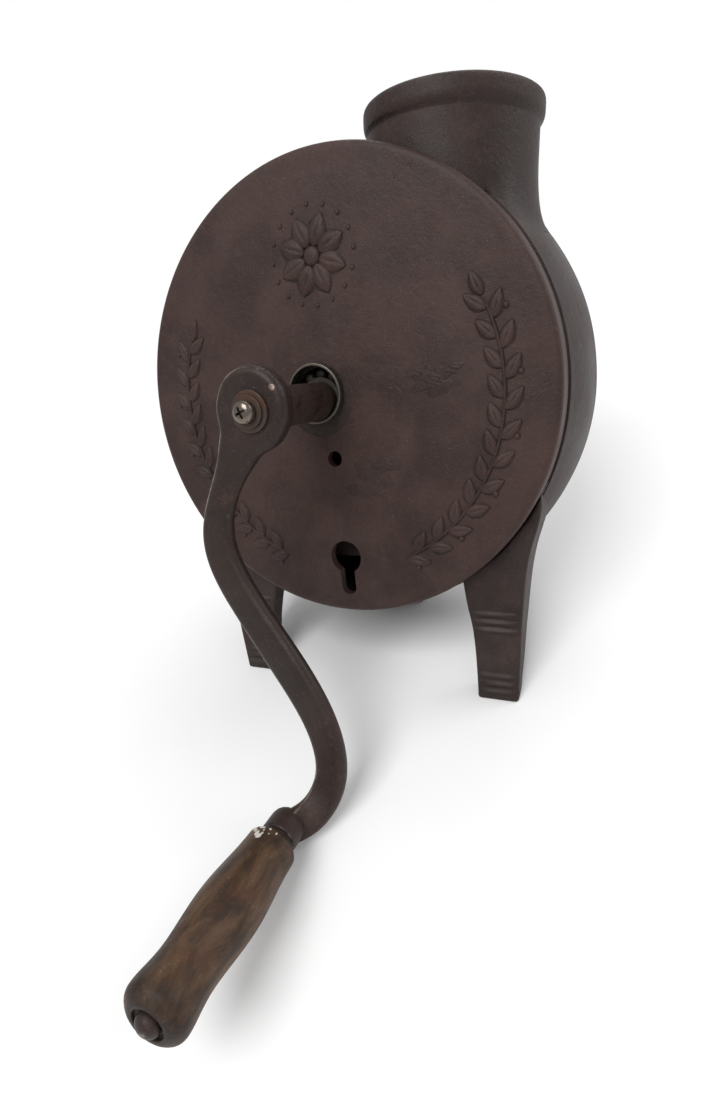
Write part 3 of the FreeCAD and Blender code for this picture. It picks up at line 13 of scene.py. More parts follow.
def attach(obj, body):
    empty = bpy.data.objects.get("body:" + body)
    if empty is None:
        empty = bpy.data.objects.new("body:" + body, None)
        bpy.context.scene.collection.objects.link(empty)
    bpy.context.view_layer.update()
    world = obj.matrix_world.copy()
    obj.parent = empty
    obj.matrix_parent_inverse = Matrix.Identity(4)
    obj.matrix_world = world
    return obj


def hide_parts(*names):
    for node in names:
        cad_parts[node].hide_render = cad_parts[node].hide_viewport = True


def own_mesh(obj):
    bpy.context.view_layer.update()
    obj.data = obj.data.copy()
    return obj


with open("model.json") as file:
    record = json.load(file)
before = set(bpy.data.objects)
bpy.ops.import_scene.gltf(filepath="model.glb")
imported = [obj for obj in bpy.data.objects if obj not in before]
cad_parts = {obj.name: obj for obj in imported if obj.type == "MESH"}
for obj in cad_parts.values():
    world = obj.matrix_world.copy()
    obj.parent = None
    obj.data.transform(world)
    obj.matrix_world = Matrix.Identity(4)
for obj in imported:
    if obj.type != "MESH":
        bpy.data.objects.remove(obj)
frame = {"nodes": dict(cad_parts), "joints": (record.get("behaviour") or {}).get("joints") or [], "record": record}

# The look of a hand-crank corn sheller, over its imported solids.
# Sizes are millimetres in the machine's own frame: X to the right of someone who faces the cover, Y into the
# machine along the shaft, Z up, from the middle of the cover's front. The machine leans back on its legs, and
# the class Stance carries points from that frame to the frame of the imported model, in metres.

Array = np.ndarray
log = logging.getLogger("sheller")
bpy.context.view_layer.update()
TAU = 2.0 * math.pi
ACROSS, INWARD = np.eye(3)[:2]
SHARP_DEGREES = 38.0
SMALL = 1e-9


# Where the machine stands

@dataclass(frozen=True)
class Stance:
    """Where the machine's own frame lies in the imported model.

    Attributes:
        origin: The middle of the cover's front, in metres.
        depth: The unit vector along the shaft, into the machine.
        rise: The unit vector up the cover.
    """

    origin: Array
    depth: Array
    rise: Array

    @classmethod
    def from_hinge(cls, hinge: dict, shaft_offset: float) -> "Stance":
        """Read the stance from the crank's hinge.

        Args:
            hinge: The joint that the crank turns on.
            shaft_offset: How far the shaft lies to the left of the cover's middle, in millimetres.

        Returns:
            The stance of the machine.
        """
        depth = np.array(hinge["axis"], float)
        depth /= np.linalg.norm(depth)
        origin = np.array(hinge["pos_m"], float) + ACROSS * shaft_offset / 1000.0
        return cls(origin, depth, np.cross(ACROSS, depth))

    def to_row(self, points: Array) -> Array:
        """Carry points from the machine's frame in millimetres to the model's frame in metres."""
        points = np.asarray(points, float) / 1000.0
        return (self.origin + points[..., 0:1] * ACROSS + points[..., 1:2] * self.depth
                + points[..., 2:3] * self.rise)

    def to_machine(self, points: Array) -> Array:
        """Carry points from the model's frame in metres to the machine's frame in millimetres."""
        away = (np.asarray(points, float) - self.origin) * 1000.0
        return np.stack([away[..., 0], away @ self.depth, away @ self.rise], axis=-1)

    def lean(self) -> float:
        """Return the angle by which the shaft runs down into the machine, in radians."""
        return math.asin(-self.depth[2])

    def table_drop(self, depth_mm: Array) -> Array:
        """Return how far the table lies below the shaft's height at a depth, in millimetres."""
        foot = self.origin[2] * 1000.0
        return (foot + self.depth[2] * np.asarray(depth_mm, float)) / self.rise[2]


def joint(name: str) -> dict:
    """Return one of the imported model's joints by its name."""
    return next(row for row in frame["joints"] if row["name"] == name)


SHAFT_OFFSET = 5.0
STANCE = Stance.from_hinge(joint("crank_turn"), SHAFT_OFFSET)


def node_span(node: str) -> tuple:
    """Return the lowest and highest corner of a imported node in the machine's frame, in millimetres."""
    mesh = frame["nodes"][node].data
    points = np.empty(len(mesh.vertices) * 3, np.float32)
    mesh.vertices.foreach_get("co", points)
    points = STANCE.to_machine(points.reshape(-1, 3))
    return points.min(axis=0), points.max(axis=0)


# Curves and outlines

def columns_round(count: int) -> Array:
    """Return angles that go once round in equal steps."""
    return np.arange(count) * TAU / count


def smooth_step(value: Array, low: float, high: float) -> Array:
    """Return 0 below low, 1 above high and 3t^2 - 2t^3 between, with t the share of the way."""
    share = np.clip((np.asarray(value, float) - low) / (high - low), 0.0, 1.0)
    return share * share * (3.0 - 2.0 * share)


def bump(value: Array, middle: float, width: float) -> Array:
    """Return the bell exp(-((value - middle) / width)^2)."""
    return np.exp(-((np.asarray(value, float) - middle) / width) ** 2)


def spline(knots: Array, values: Array, at: Array) -> Array:
    """Evaluate a natural cubic spline.

    Args:
        knots: Rising parameters, shape (n,).
        values: Values at the knots, shape (n, k).
        at: Parameters to read, shape (m,).

    Returns:
        The spline's values, shape (m, k). Its second derivative is zero at both ends.
    """
    knots = np.asarray(knots, float)
    values = np.asarray(values, float).reshape(len(knots), -1)
    gap = np.diff(knots)
    count = len(knots)
    matrix = np.eye(count)
    right = np.zeros_like(values)
    inner = np.arange(1, count - 1)
    matrix[inner, inner - 1] = gap[:-1]
    matrix[inner, inner] = 2.0 * (gap[:-1] + gap[1:])
    matrix[inner, inner + 1] = gap[1:]
    slope = np.diff(values, axis=0) / gap[:, None]
    right[1:-1] = 6.0 * np.diff(slope, axis=0)
    bend = np.linalg.solve(matrix, right)
    at = np.asarray(at, float)
    piece = np.clip(np.searchsorted(knots, at, side="right") - 1, 0, count - 2)
    width = gap[piece][:, None]
    a = (knots[piece + 1] - at)[:, None] / width
    b = (at - knots[piece])[:, None] / width
    return (a * values[piece] + b * values[piece + 1]
            + ((a ** 3 - a) * bend[piece] + (b ** 3 - b) * bend[piece + 1]) * width ** 2 / 6.0)


def rounded(corners: Array, radii: Sequence[float], steps: int = 5, closed: bool = False,
            between: int = 0) -> Array:
    """Round the corners of an outline.

    Each corner C is replaced by the curve (1 - t)^2 A + 2 t (1 - t) C + t^2 B, where A and B lie on its two
    sides at the corner's radius, or at 45 percent of a side that is too short for it.

    Args:
        corners: Corner points, shape (n, 2) or (stations, n, 2).
        radii: One radius for each corner. The ends of an open outline stay as they are.
        steps: How many points stand on each corner's curve.
        closed: Whether the last corner joins the first.
        between: How many points stand on each side of a closed outline, between its corners.

    Returns:
        The rounded outline, shape (..., m, 2).
    """
    corners = np.asarray(corners, float)
    before = np.roll(corners, 1, axis=-2) - corners
    after = np.roll(corners, -1, axis=-2) - corners
    reach = np.asarray(radii, float)[:, None]

    def cut(way: Array) -> Array:
        length = np.linalg.norm(way, axis=-1, keepdims=True)
        return corners + way / np.maximum(length, SMALL) * np.minimum(reach, 0.45 * length)

    near, far = cut(before), cut(after)
    share = np.linspace(0.0, 1.0, steps)[:, None]
    curve = ((1 - share) ** 2 * near[..., None, :] + 2 * share * (1 - share) * corners[..., None, :]
             + share ** 2 * far[..., None, :])
    if closed:
        part = (np.arange(between) + 1.0)[:, None] / (between + 1.0)
        following = np.roll(near, -1, axis=-2)
        side = far[..., None, :] * (1.0 - part) + following[..., None, :] * part
        return np.concatenate([curve, side], axis=-2).reshape(*corners.shape[:-2], -1, 2)
    middle = curve[..., 1:-1, :, :].reshape(*corners.shape[:-2], -1, 2)
    return np.concatenate([corners[..., :1, :], middle, corners[..., -1:, :]], axis=-2)


def spaced(outline: Array, step: float, closed: bool = False) -> Array:
    """Add points along an outline's long sides, so that no side is longer than the step."""
    outline = np.asarray(outline, float)
    ring = np.vstack([outline, outline[:1]]) if closed else outline
    pieces = []
    for start, stop in zip(ring[:-1], ring[1:]):
        count = max(1, int(math.ceil(np.linalg.norm(stop - start) / step)))
        pieces.append(start + (stop - start) * (np.arange(count) / count)[:, None])
    if not closed:
        pieces.append(ring[-1:])
    return np.vstack(pieces)


def arc_through(start: Sequence[float], stop: Sequence[float], radius: float, count: int) -> Array:
    """Return points on the short arc between two points, to the left of the way for a radius above zero."""
    start, stop = np.array(start, float), np.array(stop, float)
    way = stop - start
    half = np.linalg.norm(way) / 2.0
    side = math.copysign(1.0, radius)
    normal = np.array([-way[1], way[0]]) / (2.0 * half)
    centre = (start + stop) / 2.0 + normal * math.sqrt(radius * radius - half * half) * side
    first = math.atan2(*(start - centre)[::-1])
    last = math.atan2(*(stop - centre)[::-1])
    turn = (last - first) % TAU if side > 0 else -((first - last) % TAU)
    angle = first + turn * np.linspace(0.0, 1.0, count)
    return centre + abs(radius) * np.stack([np.cos(angle), np.sin(angle)], axis=1)


# Surfaces

def put_in_scene(name: str, data: bpy.types.ID) -> bpy.types.Object:
    """Make an object of a mesh, a lamp or a camera and link it to the scene."""
    thing = bpy.data.objects.new(name, data)
    bpy.context.scene.collection.objects.link(thing)
    return thing


@dataclass
class Surface:
    """A closed surface in the machine's frame, in millimetres.

    Attributes:
        points: The points, shape (n, 3).
        faces: The faces as lists of point numbers.
        marks: Named values at the points, such as how worn they are.
    """

    points: Array
    faces: list
    marks: dict = field(default_factory=dict)

    @classmethod
    def from_grid(cls, grid: Array, loop: bool = False, poles: bool = True,
                  marks: Optional[dict] = None) -> "Surface":
        """Make a surface from a grid whose columns go right round.

        Args:
            grid: Points, shape (rows, columns, 3).
            loop: Whether the last row joins the first, as on a ring.
            poles: Whether the first and the last row are closed by a fan about their middle.
            marks: Named values on the grid, each of shape (rows, columns).

        Returns:
            The surface, with its faces outwards.
        """
        rows, columns = grid.shape[:2]
        marks = {name: np.broadcast_to(value, (rows, columns)) for name, value in (marks or {}).items()}
        last = rows if loop else rows - 1
        row = np.arange(last)[:, None]
        column = np.arange(columns)[None, :]
        after = (column + 1) % columns
        below = (row + 1) % rows
        quads = np.stack([row * columns + column, row * columns + after,
                          below * columns + after, below * columns + column], axis=-1).reshape(-1, 4)
        points = grid.reshape(-1, 3)
        values = {name: value.reshape(-1) for name, value in marks.items()}
        faces = quads.tolist()
        if not loop and poles:
            turn = np.arange(columns)
            following = (turn + 1) % columns
            total = rows * columns
            middles = np.stack([grid[0].mean(axis=0), grid[-1].mean(axis=0)])
            points = np.vstack([points, middles])
            base = (rows - 1) * columns
            faces += np.stack([following, turn, np.full(columns, total)], axis=1).tolist()
            faces += np.stack([base + turn, base + following, np.full(columns, total + 1)], axis=1).tolist()
            values = {name: np.concatenate([value, [marks[name][0].mean(), marks[name][-1].mean()]])
                      for name, value in values.items()}
        made = cls(points, faces, values)
        return made if made.volume() > 0 else made.reversed()

    @classmethod
    def joined(cls, parts: Sequence["Surface"]) -> "Surface":
        """Put several surfaces into one, each still closed by itself."""
        names = sorted({name for part in parts for name in part.marks})
        start = 0
        faces = []
        for part in parts:
            faces += [[number + start for number in face] for face in part.faces]
            start += len(part.points)
        marks = {name: np.concatenate([part.marks.get(name, np.zeros(len(part.points))) for part in parts])
                 for name in names}
        return cls(np.vstack([part.points for part in parts]), faces, marks)

    def reversed(self) -> "Surface":
        """Return the surface with its faces turned round."""
        return Surface(self.points, [face[::-1] for face in self.faces], self.marks)

    def volume(self) -> float:
        """Return the volume inside, above zero where the faces point outwards."""
        quads = np.array([face if len(face) == 4 else [*face, face[-1]] for face in self.faces])
        a, b, c, d = (self.points[quads[:, corner]] for corner in range(4))
        return float((np.einsum("ij,ij->i", a, np.cross(b, c))
                      + np.einsum("ij,ij->i", a, np.cross(c, d))).sum() / 6)

    def to_object(self, name: str, sharp_degrees: float = SHARP_DEGREES) -> bpy.types.Object:
        """Make the surface a mesh object that stands in the model's frame.

        Args:
            name: The piece's name.
            sharp_degrees: Edges that turn by more than this stay sharp.

        Returns:
            The new object, at the origin, with its place in its mesh.
        """
        mesh = bpy.data.meshes.new(name)
        mesh.from_pydata(STANCE.to_row(self.points).tolist(), [], self.faces)
        for label, value in self.marks.items():
            attribute = mesh.attributes.new(label, "FLOAT", "POINT")
            attribute.data.foreach_set("value", np.ascontiguousarray(value, np.float32))
        mesh.polygons.foreach_set("use_smooth", np.ones(len(mesh.polygons), bool))
        mesh.set_sharp_from_angle(angle=math.radians(sharp_degrees))
        mesh.update()
        return put_in_scene(name, mesh)


@dataclass(frozen=True)
class Axis:
    """A line that things are turned about, with two directions square to it."""

    start: Array
    along: Array
    across: Array

    @classmethod
    def of_shaft(cls, x: float = 0.0, z: float = 0.0) -> "Axis":
        """Return a line along the shaft's direction through a point of the cover's plane."""
        return cls(np.array([x, 0.0, z]), INWARD, ACROSS)

    def third(self) -> Array:
        """Return the direction square to the other two."""
        return np.cross(self.along, self.across)

    def at(self, radius: Array, along: Array, angle: Array) -> Array:
        """Return start + along * s + radius * (across cos t + third sin t)."""
        radius, along, angle = np.broadcast_arrays(radius, along, angle)
        return (self.start + along[..., None] * self.along
                + (radius * np.cos(angle))[..., None] * self.across
                + (radius * np.sin(angle))[..., None] * self.third())


SHAFT = Axis.of_shaft(-SHAFT_OFFSET)


def prism(outline: Array, ends: Sequence[float], direction: int) -> Surface:
    """Draw a closed flat outline out along one of the three directions, between two ends."""
    return Surface.from_grid(np.stack([np.insert(outline, direction, end, axis=1) for end in ends]))


def rubbed(profile: Array, radius: float, along: float, away: float, width: float,
           amount: float = 0.5) -> Array:
    """Return the wear amount * exp(-((d - away) / width)^2) at the distance d from one of a profile's corners."""
    return amount * bump(np.hypot(profile[:, 0] - radius, profile[:, 1] - along), away, width)


def turned(profile: Array, axis: Axis, segments: int = 96, loop: bool = False,
           marks: Optional[dict] = None) -> Surface:
    """Turn a profile about a line.

    Args:
        profile: Points (radius, place along the line), shape (n, 2).
        axis: The line.
        segments: How many columns go round.
        loop: Whether the profile closes on itself, as a ring's does.
        marks: Named values for each point of the profile, or of the whole grid.

    Returns:
        The surface of revolution, with its faces outwards.
    """
    profile = np.asarray(profile, float)
    grid = axis.at(profile[:, 0:1], profile[:, 1:2], columns_round(segments)[None, :])
    spread = {name: value if np.ndim(value) == 2 else np.broadcast_to(value, len(profile))[:, None]
              for name, value in (marks or {}).items()}
    return Surface.from_grid(grid, loop=loop, marks=spread)


def ring(corners: Sequence, radii: Sequence[float], steps: int, axis: Axis, segments: int,
         rub: Optional[tuple] = None, **marks) -> Surface:
    """Turn a closed outline with rounded corners about a line.

    Args:
        corners: Corner points (radius, place along the line).
        radii: One radius for each corner.
        steps: How many points stand on each corner's curve.
        axis: The line.
        segments: How many columns go round.
        rub: Where the ring is rubbed bright, as the values that follow the profile in rubbed().
        **marks: Other marks.

    Returns:
        The ring.
    """
    outline = rounded(corners, radii, steps, closed=True)
    if rub:
        marks["wear"] = rubbed(outline, *rub)
    return turned(outline, axis, segments, loop=True, marks=marks)


def slab(outline: Array, place: Callable[[Array, Array], Array], thickness: float, edge: float,
         wear: float = 0.6) -> Surface:
    """Make a plate with rounded edges from a flat outline.

    The rows go over the plate's edge: at height h the outline is drawn in by edge * (1 - cos q), where q is
    the angle of a quarter round, and its two flats are one face each.

    Args:
        outline: Points that go round the plate, shape (n, 2).
        place: Carries the flat points and a height to the machine's frame.
        thickness: The plate's thickness.
        edge: The radius of its edges.
        wear: How worn the edges are.

    Returns:
        The plate.
    """
    ahead = np.roll(outline, -1, axis=0) - np.roll(outline, 1, axis=0)
    normal = np.stack([ahead[:, 1], -ahead[:, 0]], axis=1)
    normal /= np.maximum(np.linalg.norm(normal, axis=1, keepdims=True), SMALL)
    x, y = outline.T
    normal *= math.copysign(1.0, np.sum(x * np.roll(y, -1) - np.roll(x, -1) * y))
    quarter = np.linspace(math.pi / 2, 0.0, 5)
    drawn_in = edge * (1 - np.cos(quarter))
    lifted = edge * (1 - np.sin(quarter))
    inset = np.concatenate([drawn_in, drawn_in[::-1]])
    height = np.concatenate([lifted, thickness - lifted[::-1]])
    rows = [place(outline - normal * step, np.full(len(outline), rise)) for step, rise in zip(inset, height)]
    grid = np.stack(rows)
    worn = np.where((inset > edge * 0.02) & (inset < edge * 0.9), wear, 0.0)
    made = Surface.from_grid(grid, poles=False, marks={"wear": np.repeat(worn[:, None], len(outline), axis=1)})
    total, count = grid.shape[:2]
    caps = [list(range(count))[::-1], [(total - 1) * count + number for number in range(count)]]
    centre = made.points.mean(axis=0)
    a, b, c = made.points[made.faces[0][:3]]
    side_out = np.dot(np.cross(b - a, c - a), a - centre) > 0
    cap = grid[0]
    cap_out = np.dot(np.cross(cap[1] - cap[0], cap[len(cap) // 3] - cap[0]), cap.mean(axis=0) - centre) > 0
    made.faces += [face[::-1] for face in caps] if cap_out == side_out else caps
    return made


def carve(body: bpy.types.Object, cutters: Sequence[Surface], name: str) -> None:
    """Cut holes through a piece with closed surfaces, and keep the piece's own points and marks.

    Args:
        body: The piece that is cut.
        cutters: The surfaces whose insides are taken away. They may touch none of each other.
        name: A name for the cutters' short-lived mesh.
    """
    tool = Surface.joined(cutters).to_object(name)
    cut = body.modifiers.new("Holes", "BOOLEAN")
    cut.operation = "DIFFERENCE"
    cut.solver = "EXACT"
    cut.object = tool
    graph = bpy.context.evaluated_depsgraph_get()
    cut_mesh = bpy.data.meshes.new_from_object(body.evaluated_get(graph), depsgraph=graph)
    body.modifiers.clear()
    spent = body.data
    body.data = cut_mesh
    cut_mesh.name = spent.name
    bpy.data.meshes.remove(spent)
    shape = tool.data
    bpy.data.objects.remove(tool)
    bpy.data.meshes.remove(shape)
    cut_mesh.polygons.foreach_set("use_smooth", np.ones(len(cut_mesh.polygons), bool))
    cut_mesh.set_sharp_from_angle(angle=math.radians(SHARP_DEGREES))


# Finishes

class Mark(Enum):
    """Values that the surfaces carry at their points. The rust mark holds rust and soiling, and also painted shade
    in hollows and gaps.
    """

    WEAR = "wear"
    RUST = "rust"


class Nodes:
    """Adds nodes to one tree, from left to right, and joins them."""

    def __init__(self, tree: bpy.types.NodeTree):
        """Keep the tree that is filled."""
        self.tree = tree
        self.count = 0

    def new(self, kind: str) -> bpy.types.Node:
        """Add a node of a kind in the next place of the tree's rows of twelve."""
        node = self.tree.nodes.new(kind)
        node.location = (180 * (self.count % 12), -260 * (self.count // 12))
        self.count += 1
        return node

    def feed(self, socket: bpy.types.NodeSocket, value) -> None:
        """Join a socket to another one, or give it a plain value."""
        if isinstance(value, bpy.types.NodeSocket):
            self.tree.links.new(value, socket)
        else:
            socket.default_value = value

    def feed_all(self, sockets, **values) -> None:
        """Feed sockets by their names, which are written with underscores for blanks."""
        for name, value in values.items():
            self.feed(sockets[name.replace("_", " ")], value)

    def add(self, kind: str, **values) -> bpy.types.Node:
        """Add a node.

        Args:
            kind: The node's type name.
            **values: Properties of the node, or sockets by their names with underscores for blanks. A value
                that is itself a socket is joined.

        Returns:
            The node.
        """
        node = self.new(kind)
        for name, value in values.items():
            if hasattr(node, name):
                setattr(node, name, value)
            else:
                self.feed_all(node.inputs, **{name: value})
        return node

    def math(self, operation: str, first, second=0.0, clamp: bool = False) -> bpy.types.NodeSocket:
        """Return the socket of a Math node with two inputs."""
        node = self.new("ShaderNodeMath")
        node.operation = operation
        node.use_clamp = clamp
        self.feed(node.inputs[0], first)
        self.feed(node.inputs[1], second)
        return node.outputs[0]

    def plus(self, first, *others) -> bpy.types.NodeSocket:
        """Return the sum of two or more values."""
        for other in others:
            first = self.math("ADD", first, other)
        return first

    def minus(self, first, second, clamp: bool = False) -> bpy.types.NodeSocket:
        """Return the difference of two values."""
        return self.math("SUBTRACT", first, second, clamp)

    def times(self, first, second, clamp: bool = False) -> bpy.types.NodeSocket:
        """Return the product of two values."""
        return self.math("MULTIPLY", first, second, clamp)

    def mix(self, share, first, second, blend: str = "MIX") -> bpy.types.NodeSocket:
        """Return the colour that lies between two colours by a share."""
        node = self.new("ShaderNodeMix")
        node.data_type = "RGBA"
        node.blend_type = blend
        for number, given in ((0, share), (6, first), (7, second)):
            self.feed(node.inputs[number], given)
        return node.outputs[2]

    def remap(self, value, low: float, high: float, to_low: float = 0.0, to_high: float = 1.0,
              kind: str = "SMOOTHSTEP") -> bpy.types.NodeSocket:
        """Return a value carried from one span to another, kept inside it."""
        node = self.add("ShaderNodeMapRange", interpolation_type=kind, Value=value, From_Min=low, From_Max=high,
                        To_Min=to_low, To_Max=to_high)
        return node.outputs["Result"]

    def place(self) -> bpy.types.NodeSocket:
        """Return the place on the piece, in metres."""
        return self.add("ShaderNodeTexCoord").outputs["Object"]

    def mark(self, kind: Mark) -> bpy.types.NodeSocket:
        """Return one of the values that the surfaces carry at their points."""
        return self.add("ShaderNodeAttribute", attribute_name=kind.value).outputs["Fac"]

    def principled(self) -> bpy.types.NodeInputs:
        """Add a Principled shader and the output that it leads to, and return the shader's inputs."""
        shader = self.add("ShaderNodeBsdfPrincipled")
        self.add("ShaderNodeOutputMaterial", Surface=shader.outputs["BSDF"])
        return shader.inputs

    def relief(self, height, strength: float, distance: float) -> bpy.types.NodeSocket:
        """Return the normal of a skin with a height, in metres of distance."""
        return self.add("ShaderNodeBump", Strength=strength, Distance=distance, Height=height).outputs["Normal"]

    def noise(self, vector, scale, detail: float = 3.0, roughness: float = 0.55,
              distortion: float = 0.0) -> bpy.types.NodeSocket:
        """Return the value of a noise pattern. Its scale may be a socket."""
        node = self.add("ShaderNodeTexNoise", Vector=vector, Scale=scale, Detail=detail,
                        Roughness=roughness, Distortion=distortion)
        return node.outputs["Fac"]


def new_material(name: str) -> tuple:
    """Return an empty material and the builder of its nodes."""
    made = bpy.data.materials.new(name)
    made.use_nodes = True
    made.node_tree.nodes.clear()
    return made, Nodes(made.node_tree)


class Effect:
    """A shader node group that several materials share."""

    made: dict = {}

    def __init__(self, name: str, inputs: dict, outputs: Sequence[str]):
        """Open an empty group with its sockets.

        Args:
            name: The group's name.
            inputs: What each material can set, with the values that hold where it doesn't.
            outputs: The masks and heights that come out.
        """
        self.group = bpy.data.node_groups.new(name, "ShaderNodeTree")
        add_socket = self.group.interface.new_socket
        for label, value in inputs.items():
            add_socket(label, in_out="INPUT", socket_type="NodeSocketFloat").default_value = value
        for label in outputs:
            add_socket(label, in_out="OUTPUT", socket_type="NodeSocketFloat")
        self.nodes = Nodes(self.group)
        self.given = self.nodes.add("NodeGroupInput").outputs
        self.result = self.nodes.add("NodeGroupOutput").inputs
        self.place = self.nodes.place()
        Effect.made[name] = self

    def give(self, name: str, value) -> None:
        """Lead a value to one of the group's outputs."""
        self.nodes.feed(self.result[name], value)

    @classmethod
    def use(cls, nodes: Nodes, name: str, **values) -> bpy.types.Node:
        """Place an effect in a material with its own values."""
        node = nodes.tree.nodes.new("ShaderNodeGroup")
        node.node_tree = cls.made[name].group
        node.width = 220
        nodes.feed_all(node.inputs, **values)
        return node


def build_sand_cast() -> None:
    """Build the skin of an iron casting: sand grains, shallow lumps and scattered pits, as a height, and a mask of
    painted glints, tiny highlights painted on the grains.
    """
    effect = Effect("Sand cast skin", {"Grain": 0.5, "Lumps": 0.3, "Pits": 0.3},
                    ["Height", "Fine", "Broad", "Glint"])
    nodes = effect.nodes
    fine = nodes.noise(effect.place, 900.0, 4.0, 0.65)
    coarse = nodes.noise(effect.place, 330.0, 3.0, 0.6)
    broad = nodes.noise(effect.place, 34.0, 4.0, 0.55, 0.4)
    lumps = nodes.noise(effect.place, 85.0, 2.0, 0.5)
    pit_field = nodes.noise(effect.place, 210.0, 2.0, 0.5, 0.6)
    pits = nodes.remap(pit_field, 0.66, 0.76)
    grain = nodes.plus(nodes.times(fine, 0.55), nodes.times(coarse, 0.8))
    height = nodes.plus(nodes.times(grain, effect.given["Grain"]), nodes.times(lumps, effect.given["Lumps"]))
    effect.give("Height", nodes.minus(height, nodes.times(pits, effect.given["Pits"])))
    effect.give("Fine", coarse)
    effect.give("Broad", broad)
    effect.give("Glint", nodes.remap(nodes.noise(effect.place, 1900.0, 2.0, 0.5), 0.62, 0.76))


def build_worn_edge() -> None:
    """Build a mask of rubbed edges: the wear at the surface's points, broken up by noise. Some points also carry
    painted highlights and sheen.
    """
    effect = Effect("Worn edge", {"Amount": 1.0, "Scale": 260.0}, ["Mask"])
    nodes = effect.nodes
    wear = nodes.mark(Mark.WEAR)
    broken = nodes.noise(effect.place, effect.given["Scale"], 4.0, 0.62)
    both = nodes.plus(nodes.times(wear, effect.given["Amount"]), nodes.times(nodes.minus(broken, 0.5), 1.1))
    effect.give("Mask", nodes.remap(both, 0.34, 0.72))


def build_rust_bloom() -> None:
    """Build masks of drifting rust, and of dark soiling where the surface's points say so, which also serves as
    painted shade in hollows and gaps.
    """
    effect = Effect("Rust bloom", {"Amount": 0.4, "Scale": 40.0}, ["Mask", "Grime"])
    nodes = effect.nodes
    marked = nodes.mark(Mark.RUST)
    drift = nodes.noise(effect.place, effect.given["Scale"], 6.0, 0.68, 0.5)
    speck = nodes.noise(effect.place, 420.0, 3.0, 0.6)
    total = nodes.plus(nodes.times(drift, 0.75), nodes.times(speck, 0.35), nodes.times(marked, 0.08),
                       nodes.times(effect.given["Amount"], 0.25))
    effect.give("Mask", nodes.remap(total, 0.62, 0.92))
    effect.give("Grime", nodes.times(nodes.remap(marked, 0.2, 1.0), nodes.remap(drift, 0.3, 0.56)))


def build_dust() -> None:
    """Build a mask of dust that lies where the surface looks up, thicker in patches."""
    effect = Effect("Settled dust", {"Amount": 0.3}, ["Mask"])
    nodes = effect.nodes
    normal = nodes.add("ShaderNodeNewGeometry").outputs["Normal"]
    up = nodes.add("ShaderNodeSeparateXYZ", Vector=normal).outputs["Z"]
    facing = nodes.remap(up, 0.15, 0.95)
    patch = nodes.noise(effect.place, 55.0, 5.0, 0.6)
    effect.give("Mask", nodes.times(nodes.times(facing, nodes.remap(patch, 0.3, 0.75)), effect.given["Amount"]))


def colour(red: float, green: float, blue: float) -> tuple:
    """Return a colour that is given by screen values from 0 to 255, as light values."""
    share = np.array([red, green, blue]) / 255.0
    light = np.where(share <= 0.04045, share / 12.92, ((share + 0.055) / 1.055) ** 2.4)
    return (*light.tolist(), 1.0)


